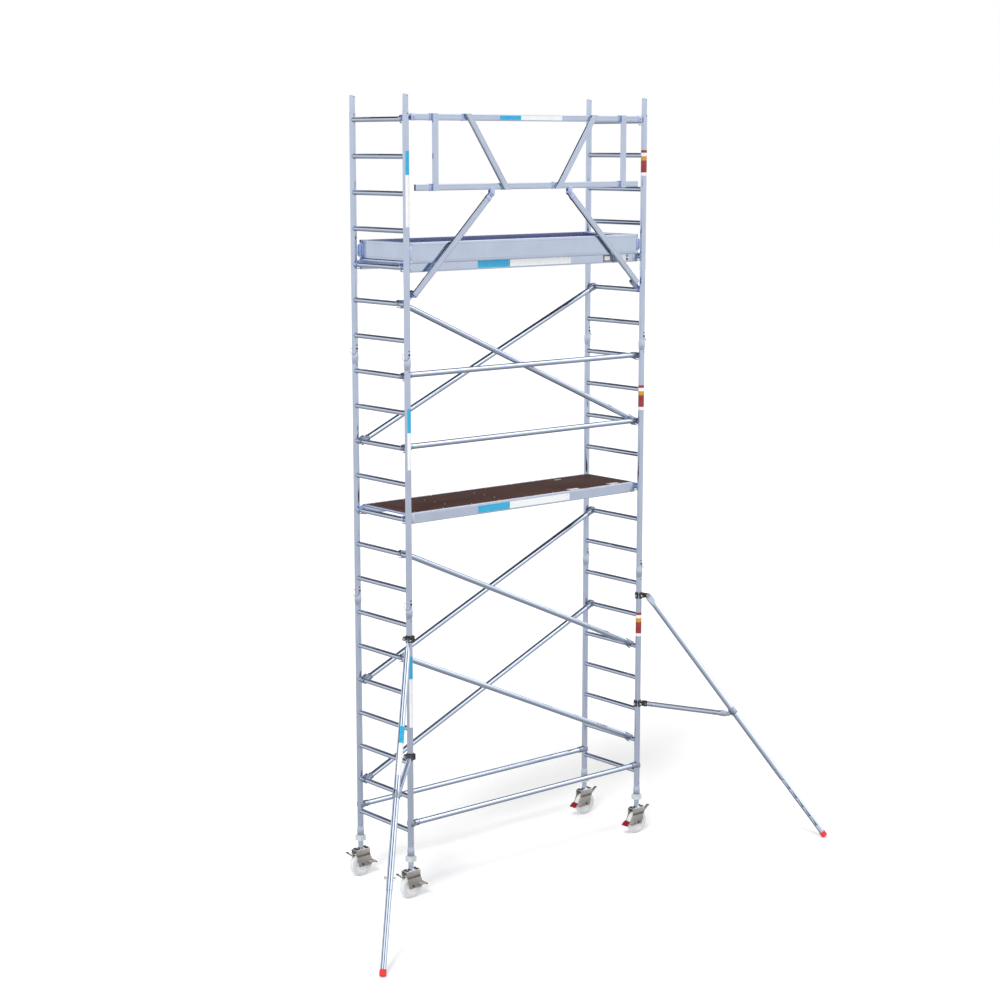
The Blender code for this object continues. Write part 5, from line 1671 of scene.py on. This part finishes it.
def within(tree, value, low, high, edge):
    """One between two limits in degrees, falling smoothly to nothing past them."""
    sides = []
    for limit, sign in ((low, 1), (high, -1)):
        step = wired(tree, "ShaderNodeMapRange", value)
        step.interpolation_type = "SMOOTHSTEP"
        step.inputs["From Min"].default_value = math.radians(limit - sign * edge)
        step.inputs["From Max"].default_value = math.radians(limit + sign * edge)
        sides.append(step.outputs["Result"])
    return wired(tree, "ShaderNodeMath", *sides, operation="MULTIPLY").outputs[0]


def heading(tree, split, start):
    """The azimuth of a direction, in radians, counted from start to a full turn past it."""
    angle = wired(
        tree, "ShaderNodeMath", split.outputs["Y"], split.outputs["X"], operation="ARCTAN2"
    )
    wrap = wired(tree, "ShaderNodeMath", angle.outputs[0], operation="WRAP")
    wrap.inputs[1].default_value = math.radians(start + 360)
    wrap.inputs[2].default_value = math.radians(start)
    return wrap.outputs[0]


def mixed(tree, factor, first, second):
    """A colour that runs from first to second with the factor, each a socket or a colour."""
    mix = tree.nodes.new("ShaderNodeMix")
    mix.data_type = "RGBA"
    mix.clamp_result = False
    tree.links.new(factor, mix.inputs[0])
    for value, target in ((first, mix.inputs[6]), (second, mix.inputs[7])):
        if isinstance(value, tuple):
            target.default_value = (*value, 1.0)
        else:
            tree.links.new(value, target)
    return mix.outputs[2]


def add_world():
    """A white studio whose reflected ceiling is dark, walls pale and floor grey."""
    world = bpy.data.worlds.new("studio")
    bpy.context.scene.world = world
    world.use_nodes = True
    tree = world.node_tree
    place_at = tree.nodes.new("ShaderNodeTexCoord").outputs["Generated"]
    split = wired(tree, "ShaderNodeSeparateXYZ", place_at)
    height = wired(tree, "ShaderNodeMath", split.outputs["Z"], operation="ARCSINE").outputs[0]
    share = wired(tree, "ShaderNodeMapRange", height)
    share.inputs["From Min"].default_value = math.radians(-90)
    share.inputs["From Max"].default_value = math.radians(90)
    ramp = wired(tree, "ShaderNodeValToRGB", share.outputs["Result"])
    colours = ramp.color_ramp
    while len(colours.elements) < len(STUDIO_LEVELS):
        colours.elements.new(0.5)
    for element, (degrees, level) in zip(colours.elements, STUDIO_LEVELS):
        element.position = (degrees + 90) / 180
        element.color = (level * 0.975, level * 0.985, level, 1.0)
    colour = ramp.outputs["Color"]
    for around, up, soft, tone in STUDIO_PATCHES:
        azimuth = heading(tree, split, sum(around) / 2 - 180)
        spans = within(tree, azimuth, *around, soft), within(tree, height, *up, soft * 0.7)
        inside = wired(tree, "ShaderNodeMath", *spans, operation="MULTIPLY").outputs[0]
        colour = mixed(tree, inside, colour, tone)
    path = tree.nodes.new("ShaderNodeLightPath")
    lit = mixed(tree, path.outputs["Is Glossy Ray"], (0.82, 0.82, 0.82), colour)
    seen = mixed(tree, path.outputs["Is Camera Ray"], lit, (1.0, 1.0, 1.0))
    tree.links.new(seen, tree.nodes["Background"].inputs["Color"])


add_frames()
add_locking_pins()
add_braces()
add_base_braces()
add_platforms()
add_toe_boards()
add_guardrail()
add_guardrail_struts()
add_stabilisers()
add_castors()
add_labels()
add_camera()
add_floor()
add_lights()
add_world()
bpy.context.scene.view_settings.view_transform = "Standard"
